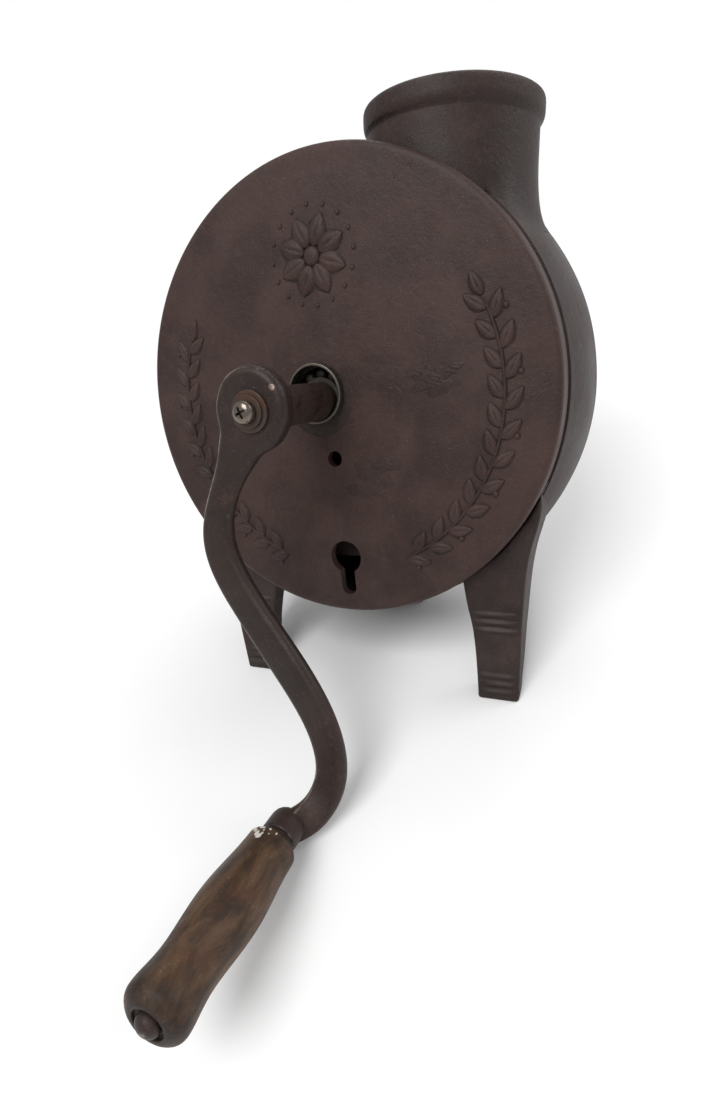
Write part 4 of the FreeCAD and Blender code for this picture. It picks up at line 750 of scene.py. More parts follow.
@dataclass(frozen=True)
class IronFinish:
    """Brown aged cast iron.

    Attributes:
        name: The material's name.
        deep, light: The two browns that the skin drifts between.
        rust, grime, dust, glint: The colours of the rust, of the old soiling, which also stands for painted shade in
            hollows and gaps, of the dust, and of the painted glints on the grains.
        bright: The colour of rubbed edges.
        rust_amount, dust_amount, wear_amount: How much of each there is.
        grime_cover, glint_cover, bright_cover: How far each colour hides the one below it.
        grain, lumps, pits: The heights of the sand skin's parts.
        roughness, specular: How dull the skin is and how much it mirrors.
        rust_dulls, dust_dulls, wear_polishes: What each adds to or takes from the roughness.
        bare_metal: How metallic a rubbed edge is.
        relief, relief_depth: The strength of the skin's height, and its depth in metres.
    """

    name: str
    deep: tuple = colour(48, 33, 30)
    light: tuple = colour(63, 45, 41)
    rust: tuple = colour(72, 50, 42)
    grime: tuple = colour(27, 21, 19)
    dust: tuple = colour(112, 102, 98)
    glint: tuple = colour(150, 138, 130)
    bright: tuple = colour(128, 112, 102)
    rust_amount: float = 0.1
    dust_amount: float = 0.12
    wear_amount: float = 0.55
    grime_cover: float = 0.8
    glint_cover: float = 0.2
    bright_cover: float = 0.75
    grain: float = 0.75
    lumps: float = 0.35
    pits: float = 0.3
    roughness: float = 0.5
    specular: float = 0.26
    rust_dulls: float = 0.22
    dust_dulls: float = 0.3
    wear_polishes: float = 0.16
    bare_metal: float = 0.55
    relief: float = 0.75
    relief_depth: float = 0.0006

    def material(self) -> bpy.types.Material:
        """Make the material."""
        made, nodes = new_material(self.name)
        surface = nodes.principled()
        skin = Effect.use(nodes, "Sand cast skin", Grain=self.grain, Lumps=self.lumps, Pits=self.pits)
        bloom = Effect.use(nodes, "Rust bloom", Amount=self.rust_amount)
        rust = bloom.outputs["Mask"]
        worn = Effect.use(nodes, "Worn edge", Amount=self.wear_amount).outputs["Mask"]
        dust = Effect.use(nodes, "Settled dust", Amount=self.dust_amount).outputs["Mask"]
        broad = nodes.remap(skin.outputs["Broad"], 0.32, 0.68)
        base = nodes.mix(broad, self.deep, self.light)
        speckle = nodes.remap(skin.outputs["Fine"], 0.35, 0.7, 0.92, 1.08, "LINEAR")
        grey = nodes.add("ShaderNodeCombineColor", Red=speckle, Green=speckle, Blue=speckle).outputs["Color"]
        base = nodes.mix(1.0, base, grey, "MULTIPLY")
        base = nodes.mix(rust, base, self.rust)
        # Dark soiling where the marks say so, which also paints shade in hollows and gaps.
        base = nodes.mix(nodes.times(bloom.outputs["Grime"], self.grime_cover), base, self.grime)
        base = nodes.mix(dust, base, self.dust)
        # Painted highlights: tiny light specks on the grains.
        base = nodes.mix(nodes.times(skin.outputs["Glint"], self.glint_cover), base, self.glint)
        base = nodes.mix(nodes.times(worn, self.bright_cover), base, self.bright)
        dull = nodes.remap(skin.outputs["Broad"], 0.25, 0.75, self.roughness - 0.07, self.roughness + 0.09, "LINEAR")
        dull = nodes.plus(dull, nodes.times(rust, self.rust_dulls), nodes.times(dust, self.dust_dulls))
        nodes.feed_all(surface, Base_Color=base, Metallic=nodes.times(worn, self.bare_metal),
                       Roughness=nodes.minus(dull, nodes.times(worn, self.wear_polishes), clamp=True),
                       Specular_IOR_Level=self.specular,
                       Normal=nodes.relief(skin.outputs["Height"], self.relief, self.relief_depth))
        return made


@dataclass(frozen=True)
class SteelFinish:
    """Steel that is turned, stamped or rolled, and tarnished.

    Attributes:
        name: The material's name.
        clean, tarnish, grime: The colours of the bare, the tarnished and the dirty metal.
        tarnish_amount: How much tarnish there is.
        grime_cover: How far the dirt hides the metal.
        roughness: How dull the bare metal is.
        tarnish_dulls: What tarnish adds to the roughness.
        scratch_scale: How fine its scratches are.
        relief, relief_depth: The strength of the scratches, and their depth in metres.
    """

    name: str
    clean: tuple = colour(150, 145, 138)
    tarnish: tuple = colour(82, 62, 52)
    grime: tuple = colour(34, 27, 24)
    tarnish_amount: float = 0.5
    grime_cover: float = 0.8
    roughness: float = 0.36
    tarnish_dulls: float = 0.24
    scratch_scale: float = 500.0
    relief: float = 0.25
    relief_depth: float = 0.0002

    def material(self) -> bpy.types.Material:
        """Make the material."""
        made, nodes = new_material(self.name)
        surface = nodes.principled()
        bloom = Effect.use(nodes, "Rust bloom", Amount=self.tarnish_amount, Scale=120.0)
        worn = Effect.use(nodes, "Worn edge", Amount=1.0, Scale=420.0).outputs["Mask"]
        streak = nodes.noise(nodes.place(), self.scratch_scale, 3.0, 0.6, 1.2)
        stained = nodes.minus(nodes.times(bloom.outputs["Mask"], 0.9), nodes.times(worn, 0.8), clamp=True)
        base = nodes.mix(stained, self.clean, self.tarnish)
        base = nodes.mix(nodes.times(bloom.outputs["Grime"], self.grime_cover), base, self.grime)
        dull = nodes.remap(streak, 0.3, 0.7, self.roughness - 0.06, self.roughness + 0.08, "LINEAR")
        dull = nodes.math("ADD", dull, nodes.times(stained, self.tarnish_dulls), clamp=True)
        nodes.feed_all(surface, Base_Color=base, Metallic=nodes.remap(stained, 0.2, 0.9, 0.92, 0.35, "LINEAR"),
                       Roughness=dull, Normal=nodes.relief(streak, self.relief, self.relief_depth))
        return made


@dataclass(frozen=True)
class WoodFinish:
    """Hardwood that hands have darkened and polished, with its grain along the grip.

    Attributes:
        name: The material's name.
        pale, deep, warm, grime: The wood's pale and dark streaks, its reddish patches and the soiling, which also
            paints the shade at the neck.
        speck: The colour of the fine worn spots.
        chip: The colour of old paint drops at the near end.
        warm_cover, fibre_cover, grime_cover, chip_cover: How far each colour hides the one below it.
        roughness, specular: How dull it is and how much it mirrors.
        relief, relief_depth: The strength of the grain's height, and its depth in metres.
    """

    name: str
    pale: tuple = colour(86, 64, 46)
    deep: tuple = colour(52, 38, 28)
    warm: tuple = colour(80, 48, 32)
    grime: tuple = colour(30, 24, 22)
    speck: tuple = colour(142, 130, 118)
    chip: tuple = colour(214, 208, 200)
    warm_cover: float = 0.55
    fibre_cover: float = 0.4
    grime_cover: float = 0.62
    chip_cover: float = 0.85
    roughness: float = 0.5
    specular: float = 0.22
    relief: float = 0.5
    relief_depth: float = 0.0004

    def material(self) -> bpy.types.Material:
        """Make the material. Fibres are noise that is drawn out sixteen times along the grip."""
        made, nodes = new_material(self.name)
        surface = nodes.principled()
        place = nodes.place()
        turned_place = nodes.add("ShaderNodeMapping", Vector=place, Rotation=(STANCE.lean(), 0.0, 0.0))
        drawn = nodes.add("ShaderNodeMapping", Vector=turned_place.outputs["Vector"], Scale=(1.0, 0.0625, 1.0))
        fibre = nodes.noise(drawn.outputs["Vector"], 1500.0, 4.0, 0.62)
        streaks = nodes.noise(drawn.outputs["Vector"], 330.0, 4.0, 0.6, 0.4)
        patch = nodes.noise(place, 42.0, 4.0, 0.6, 0.3)
        short = nodes.add("ShaderNodeMapping", Vector=turned_place.outputs["Vector"], Scale=(1.0, 0.3, 1.0))
        blotch = nodes.noise(short.outputs["Vector"], 130.0, 5.0, 0.65, 0.6)
        speckle = nodes.noise(place, 1500.0, 3.0, 0.6)
        red_patch = nodes.noise(place, 70.0, 3.0, 0.55)
        worn = Effect.use(nodes, "Worn edge", Amount=1.0, Scale=300.0).outputs["Mask"]
        grown = nodes.plus(nodes.times(streaks, 0.2), nodes.times(blotch, 0.8))
        base = nodes.mix(nodes.remap(grown, 0.38, 0.62), self.deep, self.pale)
        base = nodes.mix(nodes.times(nodes.remap(red_patch, 0.56, 0.74), self.warm_cover), base, self.warm)
        base = nodes.mix(nodes.times(nodes.remap(fibre, 0.52, 0.7), self.fibre_cover), base, self.deep)
        # Soiled patches, and the marks, which also carry painted shade at the neck.
        dirt_and_shade = nodes.plus(nodes.remap(patch, 0.5, 0.72), nodes.times(nodes.mark(Mark.RUST), 0.9))
        base = nodes.mix(nodes.times(dirt_and_shade, self.grime_cover, clamp=True), base, self.grime)
        in_patches = nodes.remap(blotch, 0.5, 0.62, 0.05, 0.4)
        base = nodes.mix(nodes.times(nodes.remap(speckle, 0.56, 0.74), in_patches), base, self.speck)
        base = nodes.mix(nodes.times(worn, self.chip_cover), base, self.chip)
        dull = nodes.remap(patch, 0.3, 0.7, self.roughness - 0.08, self.roughness + 0.1, "LINEAR")
        height = nodes.plus(nodes.times(fibre, 0.7), nodes.times(streaks, 0.5))
        nodes.feed_all(surface, Base_Color=base, Roughness=nodes.minus(dull, nodes.times(worn, 0.2)),
                       Specular_IOR_Level=self.specular,
                       Normal=nodes.relief(height, self.relief, self.relief_depth))
        return made


class Finishes:
    """Every finish of the machine, by the record's material slots."""

    def __init__(self) -> None:
        """Build the shared effects and then the finishes."""
        build_sand_cast()
        build_worn_edge()
        build_rust_bloom()
        build_dust()
        finishes = {
            "cover_iron": IronFinish("Cover iron"),
            "casing_iron": IronFinish("Casing iron", deep=colour(38, 27, 25), light=colour(48, 35, 32),
                                      dust_amount=0.35, wear_amount=0.4, lumps=0.4, grain=0.8, roughness=0.5),
            "arm_iron": IronFinish("Arm iron", deep=colour(37, 27, 24), light=colour(46, 34, 30), grain=0.4,
                                   lumps=0.5, pits=0.3, rust_amount=0.2, dust_amount=0.1, wear_amount=0.85,
                                   roughness=0.42),
            "inner_iron": IronFinish("Inner iron", deep=colour(44, 36, 34), light=colour(62, 50, 46),
                                     rust_amount=0.4, dust_amount=0.2, roughness=0.6),
            "bearing_steel": SteelFinish("Bearing steel", clean=colour(112, 106, 98), tarnish=colour(30, 24, 21),
                                         tarnish_amount=1.6, roughness=0.4),
            "shaft_steel": SteelFinish("Shaft steel", clean=colour(84, 68, 60), tarnish=colour(48, 35, 31),
                                       tarnish_amount=1.0, roughness=0.42),
            "fastener_steel": SteelFinish("Fastener steel", clean=colour(88, 76, 69), tarnish=colour(50, 38, 34),
                                          grime=colour(76, 50, 36), tarnish_amount=1.0, roughness=0.42),
            "screw_steel": SteelFinish("Screw steel", clean=colour(116, 106, 98), tarnish=colour(56, 46, 40),
                                       tarnish_amount=0.7, roughness=0.2),
            "spring_steel": SteelFinish("Spring steel", clean=colour(110, 104, 98), tarnish_amount=0.5),
            "grip_wood": WoodFinish("Grip wood"),
        }
        self.materials = {slot: finish.material() for slot, finish in finishes.items()}

    def dress(self, thing: bpy.types.Object, slot: str) -> None:
        """Give a piece one of the finishes."""
        thing.data.materials.clear()
        thing.data.materials.append(self.materials[slot])

    def dress_nodes(self, nodes: dict, subparts: Sequence[dict]) -> None:
        """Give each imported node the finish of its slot."""
        for part in subparts:
            thing = nodes[part["node"]]
            if not thing.material_slots:
                thing.data.materials.append(None)
            for place in thing.material_slots:
                place.material = self.materials[part["material_slot"]]


# The round cover

SINK = 0.8      # how far the underside of a relief lies below the ground that it stands on


@dataclass(frozen=True)
class Leaf:
    """A raised leaf: its length, half of its greatest width, its height and the depth of its middle groove."""

    length: float
    half_width: float
    height: float
    groove: float = 0.5


def blade(leaf: Leaf) -> Array:
    """Make a raised leaf on a flat ground.

    Along the leaf its half width is w = half_width * sin(pi t^0.8)^0.75. Across it the height is
    height * (1 - s^2)^0.55 inside its edge, where s is the share of w, less a groove along the middle, and
    outside the edge a short foot runs out level with the ground.

    Args:
        leaf: The leaf's sizes.

    Returns:
        A grid of points (along, across, up), whose columns go right round.
    """
    t = np.concatenate([[0.004], np.linspace(0.02, 0.98, 19), [0.996]])[:, None]
    s = np.array([-1.3, -1.12, -1.0, -0.93, -0.8, -0.6, -0.36, -0.14, 0.0])
    s = np.concatenate([s, -s[:-1][::-1]])[None, :]
    width = leaf.half_width * np.sin(math.pi * t ** 0.8) ** 0.75
    full = np.clip(width / leaf.half_width, 0.0, 1.0)
    crown = leaf.height * np.clip(1.0 - s ** 2, 0.0, 1.0) ** 0.55
    flare = 0.12 * leaf.height
    foot = np.where(np.abs(s) >= 1.0, flare * np.clip(1.3 - np.abs(s), 0.0, 0.3) / 0.3, flare)
    up = np.maximum(crown, foot) * np.sqrt(full) - leaf.groove * bump(s * width, 0.0, 0.45) * full
    across = s * np.maximum(width, 0.05)
    along = np.broadcast_to(leaf.length * t, across.shape)
    top = np.stack([along, across, up], axis=-1)
    under = top[:, [-1, 0]].copy()
    under[..., 2] = -SINK
    return np.concatenate([top, under], axis=1)


def dome(radius: float, height: float, rings: int = 6, segments: int = 14) -> Array:
    """Make a raised bead: height * sqrt(1 - q^2) over the share q of its radius, on a flared foot."""
    q = np.concatenate([[0.02], np.linspace(0.25, 1.0, rings), [1.25, 1.25]])
    up = np.concatenate([height * np.sqrt(np.clip(1.0 - q[:-2] ** 2, 0.0, 1.0)), [0.0, -SINK]])
    angle = columns_round(segments)
    across = radius * q[:, None]
    return np.stack([across * np.cos(angle), across * np.sin(angle),
                     np.broadcast_to(up[:, None], (len(q), segments))], axis=-1)


@dataclass(frozen=True)
class Spray:
    """A stem with pairs of leaves and berries that rises along the rim. Its angles are degrees from the right.

    Attributes:
        radius: The stem's distance from the cover's middle.
        stem_start, stem_end, stem_half, stem_height: The stem's ends and its section.
        pairs, first, pitch: How many pairs of leaves there are, the first one's angle and the step.
        lag, lean: How far the inner leaf follows the outer one, and a leaf's angle to the stem.
        leaf, tip, tip_angle: The leaves, and the one at the stem's end.
        berry, berry_out, berry_lag: The radius and height of a berry, beside every second pair.
    """

    radius: float = 90.0
    stem_start: float = -68.0
    stem_end: float = 24.0
    stem_half: float = 1.0
    stem_height: float = 1.2
    pairs: int = 11
    first: float = -66.0
    pitch: float = 8.4
    lag: float = 3.2
    lean: float = 34.0
    leaf: Leaf = Leaf(12.6, 3.2, 1.8)
    tip: Leaf = Leaf(12.0, 3.0, 1.7)
    tip_angle: float = 25.0
    berry: tuple = (1.5, 1.2)
    berry_out: float = 7.4
    berry_lag: float = 1.6


@dataclass(frozen=True)
class Rosette:
    """The flower above the shaft.

    Attributes:
        height: How far its middle lies above the shaft.
        heart: The radius and height of the bead in its middle.
        petals, petal, petal_foot: How many petals, their shape and where they start.
        beads, bead, bead_circle: How many beads, their radius and height, and their circle.
    """

    height: float = 68.0
    heart: tuple = (4.6, 2.1)
    petals: int = 8
    petal: Leaf = Leaf(15.0, 5.1, 2.0)
    petal_foot: float = 4.2
    beads: int = 16
    bead: tuple = (1.15, 0.9)
    bead_circle: float = 22.5


@dataclass
class CoverCasting:
    """The round cover with its rolled edge, its holes and a generic relief of leaves round a rosette.

    Attributes:
        wall, rim_wall: The thickness of its face and of its rim.
        edge: The radius of its front edge.
        skin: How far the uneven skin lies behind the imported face, so that no wave passes it.
        shaft_bore, boss_radius, boss_back: The bearing's bore and the ring behind the face round it.
        peephole_radius, peephole_drop: The small round hole.
        eye_radius, eye_drop, slot_half, slot_end: The keyhole.
        stains: Rusty spots, as x, z and reach.
        scar_spots: Rough spots, as x, z and reach.
        scar_seed: The seed of their ragged outlines.
        high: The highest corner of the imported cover.
    """

    wall: float = 5.0
    rim_wall: float = 5.0
    edge: float = 2.2
    skin: float = 0.12
    shaft_bore: float = 18.05
    boss_radius: float = 26.0
    boss_back: float = 14.0
    peephole_radius: float = 4.1
    peephole_drop: float = 30.0
    eye_radius: float = 9.0
    eye_drop: float = 83.5
    slot_half: float = 4.3
    slot_end: float = 105.0
    stains: tuple = ((58.0, 4.0, 13.0), (22.0, -42.0, 15.0), (5.0, -82.0, 17.0), (28.0, 60.0, 20.0))
    scar_spots: tuple = ((57.0, 3.0, 9.0), (66.0, 8.0, 5.0), (50.0, 9.0, 4.0), (21.0, -40.0, 8.0),
                         (15.0, -47.0, 7.0), (29.0, -34.0, 6.0), (24.0, -48.0, 4.5))
    scar_seed: int = 7
    high: Array = field(default_factory=lambda: node_span("front_cover")[1])

    def swell(self, x: Array, z: Array) -> Array:
        """Return the unevenness of the cast face: four long waves, a tenth of a millimetre high."""
        wave = np.sin(x / 13.0 + z / 31.0 + 0.4) + np.sin(z / 17.0 - x / 29.0 + 1.9)
        wave = wave + 0.8 * np.sin((x + z) / 9.5 + 2.7) + 0.6 * np.sin((x - 1.4 * z) / 7.1)
        return 0.055 * wave

    def disc(self) -> Surface:
        """Turn the cover's dish. The front is pushed by the swell of the cast face."""
        radius, depth = self.high[0], self.high[1]
        inside = radius - self.rim_wall
        corners = [[0.0, 0.0], [radius, 0.0], [radius, depth], [inside, depth], [inside, self.wall],
                   [0.0, self.wall]]
        profile = spaced(rounded(corners, [0, self.edge * 1.6, 0.8, 0.6, 3.0, 0], steps=7), 1.7)
        profile = profile[(profile[:, 0] > 0.4) | (np.arange(len(profile)) > len(profile) // 2)]
        profile[-1, 0] = 0.3
        angle = columns_round(320)
        grid = Axis.of_shaft().at(profile[:, 0:1], profile[:, 1:2], angle[None, :])
        front = ((profile[:, 1] < 0.5) & (np.arange(len(profile)) < len(profile) // 2))[:, None]
        fade = 1.0 - smooth_step(profile[:, 0:1], radius - 9.0, radius - 3.0)
        grid[..., 1] += np.where(front, self.swell(grid[..., 0], grid[..., 2]) * fade + self.skin * fade, 0.0)
        corner = np.abs(profile[:, 0] - radius) + np.abs(profile[:, 1])
        ragged = 0.8 + 0.2 * np.sin(angle * 7.0 + 1.0) * np.sin(angle * 23.0)
        wear = 0.55 * bump(corner, 1.0, 0.8)[:, None] * ragged[None, :]
        x, z = grid[..., 0], grid[..., 2]
        holes = [(0.0, -self.peephole_drop, self.peephole_radius), (0.0, -self.eye_drop, self.eye_radius),
                 (-SHAFT_OFFSET, 0.0, self.shaft_bore)]
        for hole_x, hole_z, hole_radius in holes:
            wear = np.maximum(wear, 0.55 * bump(np.hypot(x - hole_x, z - hole_z), hole_radius, 1.1) * front)
        rust = 0.35 * bump(np.hypot(x + SHAFT_OFFSET, z), 20.0, 9.0)
        # The face darkens towards the bottom.
        rust = np.maximum(rust, 0.42 * smooth_step(-z, 35.0, 105.0))
        for spot_x, spot_z, reach in self.stains:
            rust = np.maximum(rust, 0.45 * bump(np.hypot(x - spot_x, z - spot_z), 0.0, reach))
        return Surface.from_grid(grid, marks={"wear": wear, "rust": rust})

    def keyhole(self) -> Surface:
        """Return the keyhole as a plug: a round eye that runs down into a slot with a round end."""
        meet = math.sqrt(self.eye_radius ** 2 - self.slot_half ** 2)
        start = math.atan2(-meet, self.slot_half)
        sweep = np.linspace(start, math.pi - start, 40)
        eye = np.stack([self.eye_radius * np.cos(sweep), self.eye_radius * np.sin(sweep) - self.eye_drop], axis=1)
        turn = np.linspace(math.pi, TAU, 16)
        end = self.slot_end - self.slot_half
        foot = np.stack([self.slot_half * np.cos(turn), self.slot_half * np.sin(turn) - end], axis=1)
        return prism(spaced(np.vstack([eye, foot]), 2.0, closed=True), (-4.0, self.wall * 2), 1)

    def holes(self) -> list:
        """Return the plugs that are cut out of the cover."""
        plug = np.array([[1.0, -4.0], [1.0, self.wall * 2]])
        return [turned(plug * [self.peephole_radius, 1.0], Axis.of_shaft(0.0, -self.peephole_drop), 48),
                turned(plug * [self.shaft_bore, 1.0], SHAFT), self.keyhole()]

    def on_face(self, grid: Array, x: float, z: float, turn: float) -> Array:
        """Stand a small relief on the face at a place, turned by an angle from the right."""
        across = x + grid[..., 0] * math.cos(turn) - grid[..., 1] * math.sin(turn)
        high = z + grid[..., 0] * math.sin(turn) + grid[..., 1] * math.cos(turn)
        depth = self.swell(across, high) + self.skin - grid[..., 2]
        return np.stack([across, depth, high], axis=-1)

    def mark_top(self, grid: Array) -> dict:
        """Return the marks of a relief: worn on its crown, and dark round its foot, with soiling and painted shade
        in the crease.
        """
        share = np.clip(grid[..., 2] / grid[..., 2].max(), 0.0, 1.0)
        return {"wear": 0.42 * smooth_step(share, 0.7, 1.0), "rust": 1.0 - smooth_step(share, 0.0, 0.7)}

    def place(self, grid: Array, x: float, z: float, turn: float = 0.0) -> Surface:
        """Return a small relief as a closed surface on the face."""
        return Surface.from_grid(self.on_face(grid, x, z, turn), marks=self.mark_top(grid))

    def place_round(self, grid: Array, radius: float, angle: float, turn: float = 0.0,
                    rise: float = 0.0) -> Surface:
        """Place a small relief on a circle whose middle lies above the cover's by a rise."""
        return self.place(grid, radius * math.cos(angle), rise + radius * math.sin(angle), turn)

    def stem(self, spray: Spray) -> Surface:
        """Carry a half-round profile along an arc about the cover's middle, thinning towards its ends."""
        first, last = math.radians(spray.stem_start), math.radians(spray.stem_end)
        angle = np.linspace(first, last, 64)[:, None]
        s = np.array([-1.25, -1.0, -0.8, -0.4, 0.0, 0.4, 0.8, 1.0, 1.25])[None, :]
        taper = np.clip(np.minimum(angle - first, last - angle) / 0.12 + 0.15, 0.0, 1.0)
        up = spray.stem_height * np.sqrt(np.clip(1.0 - s ** 2, 0.0, 1.0)) * taper
        reach = spray.radius + s * spray.stem_half * (0.4 + 0.6 * taper)
        x, z = reach * np.cos(angle), reach * np.sin(angle)
        top = np.stack([x, self.swell(x, z) + self.skin - up, z], axis=-1)
        under = top[:, [-1, 0]].copy()
        under[..., 1] += SINK
        return Surface.from_grid(np.concatenate([top, under], axis=1), marks={"rust": 0.6})

    def spray(self, side: float) -> list:
        """Return one spray of leaves and berries that rises beside the keyhole along the rim.

        Args:
            side: 1 for the right one, -1 for the left one.

        Returns:
            The spray's surfaces.
        """
        spray = Spray()
        parts = [self.stem(spray)]
        for number in range(spray.pairs):
            angle = math.radians(spray.first + spray.pitch * number)
            for across in (1.0, -1.0):
                start = angle + (0.0 if across > 0 else math.radians(spray.lag))
                heading = start + math.pi / 2 - math.radians(spray.lean) * across
                parts.append(self.place_round(blade(spray.leaf), spray.radius + across * 0.7, start, heading))
            if number % 2 == 0:
                parts.append(self.place_round(dome(*spray.berry), spray.radius + spray.berry_out,
                                              angle + math.radians(spray.berry_lag)))
        end = math.radians(spray.tip_angle)
        parts.append(self.place_round(blade(spray.tip), spray.radius, end, end + math.pi / 2))
        if side < 0:
            for part in parts:
                part.points = part.points * [-1.0, 1.0, 1.0]
            parts = [part if part.volume() > 0 else part.reversed() for part in parts]
        return parts

    def rosette(self) -> list:
        """Return the rosette of petals above the shaft, inside a circle of beads."""
        rosette = Rosette()
        parts = [self.place(dome(*rosette.heart, rings=9, segments=28), 0.0, rosette.height)]
        for number in range(rosette.petals):
            turn = TAU * number / rosette.petals + math.pi / rosette.petals
            parts.append(self.place_round(blade(rosette.petal), rosette.petal_foot, turn, turn, rosette.height))
        for number in range(rosette.beads):
            parts.append(self.place_round(dome(*rosette.bead), rosette.bead_circle, TAU * number / rosette.beads,
                                          rise=rosette.height))
        return parts

    def scars(self) -> list:
        """Return the rough spots that casting left: low lumps with a ragged outline."""
        random = np.random.default_rng(self.scar_seed)
        parts = []
        for x, z, reach in self.scar_spots:
            grid = dome(1.0, 0.34, rings=8, segments=36)
            angle = np.arctan2(grid[..., 1], grid[..., 0])
            ragged = 1.0 + 0.28 * np.sin(2 * angle + random.uniform(0, 6))
            ragged = ragged + 0.2 * np.sin(5 * angle + random.uniform(0, 6))
            grid[..., 0] *= reach * ragged
            grid[..., 1] *= reach * 0.55 * ragged
            bumps = np.sin(grid[..., 0] * 2.1 + x) * np.sin(grid[..., 1] * 2.6 + z)
            grid[..., 2] += np.where(grid[..., 2] > 0.02, 0.16 * bumps, 0.0)
            made = self.place(grid, x, z, random.uniform(-0.6, 0.6))
            made.marks["rust"] = np.full(len(made.points), 0.6)
            made.marks["wear"] = np.full(len(made.points), 0.12)
            parts.append(made)
        return parts

    def boss(self) -> Surface:
        """Turn the ring behind the face that carries the bearing."""
        front = self.wall - 0.5
        return ring([[self.shaft_bore, front], [self.boss_radius, front], [self.boss_radius, self.boss_back],
                     [self.shaft_bore, self.boss_back]], [0.1, 0.1, 1.2, 0.6], 4, SHAFT, 96)

    def build(self, finishes: Finishes) -> None:
        """Make the cover's casting and its relief."""
        casting = self.disc().to_object("cover_casting")
        carve(casting, self.holes(), "cover_plugs")
        relief = Surface.joined(self.spray(1.0) + self.spray(-1.0) + self.rosette() + self.scars())
        pieces = [casting, relief.to_object("cover_relief", 60.0), self.boss().to_object("cover_bearing_boss")]
        for piece in pieces:
            finishes.dress(piece, "cover_iron")
            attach(piece, "housing")
            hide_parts("front_cover")
        log.info("cover: %d pieces", len(pieces))


@dataclass
class FrontBearing:
    """The front bearing's cup and the thin lip that stands proud of the cover, a little above the shaft's middle.

    Attributes:
        cup_radius, cup_bore, cup_depth: The cup in the cover.
        race_radius, race_front, race_back, land: The groove that the balls run in, and the land behind it.
        lip_radius, lip_bore, lip_proud, lip_foot: The lip.
        lip_x, lip_z: The lip's middle.
    """

    cup_radius: float = 18.0
    cup_bore: float = 14.9
    cup_depth: float = 12.0
    race_radius: float = 16.7
    race_front: float = 3.0
    race_back: float = 7.5
    land: float = 10.0
    lip_radius: float = 15.2
    lip_bore: float = 13.8
    lip_proud: float = 4.0
    lip_foot: float = 0.9
    lip_x: float = -5.9
    lip_z: float = 3.9

    def cup(self) -> Surface:
        """Make the cup: circles about the shaft behind, which lead over into the lip's circle in front. Its inside
        is painted dark as shade.
        """
        lip = Axis.of_shaft(self.lip_x, self.lip_z)
        mouth = self.lip_bore + 0.4
        rows = [(lip, mouth, 0.3), (SHAFT, self.cup_radius, 0.3), (SHAFT, self.cup_radius, self.cup_depth),
                (SHAFT, self.cup_bore, self.cup_depth), (SHAFT, self.cup_bore, self.land),
                (SHAFT, self.race_radius, self.race_back), (SHAFT, self.race_radius, self.race_front),
                (lip, mouth, 1.6)]
        grid = np.stack([axis.at(radius, depth, columns_round(96)) for axis, radius, depth in rows])
        # Painted shade: the strong mark darkens the cup's inside.
        return Surface.from_grid(grid, loop=True, marks={"rust": 0.9})

    def lip(self) -> Surface:
        """Turn the lip, whose front edge is rubbed bright."""
        corners = [[self.lip_bore, self.lip_foot], [self.lip_bore, -self.lip_proud],
                   [self.lip_radius, -self.lip_proud], [self.lip_radius, self.lip_foot]]
        outline = rounded(corners, [0.2, 0.3, 0.6, 0.2], closed=True)
        wear = bump(outline[:, 1] + self.lip_proud, 0.0, 0.9)
        return turned(outline, Axis.of_shaft(self.lip_x, self.lip_z), loop=True, marks={"wear": wear, "rust": 0.5})

    def build(self, finishes: Finishes) -> None:
        """Make the cup and its lip."""
        for piece, slot in ((self.cup().to_object("bearing_cup_body"), "inner_iron"),
                            (self.lip().to_object("bearing_lip"), "bearing_steel")):
            finishes.dress(piece, slot)
            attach(piece, "housing")
            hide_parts("front_bearing_cup")
        log.info("front bearing: 2 pieces")


# The casing

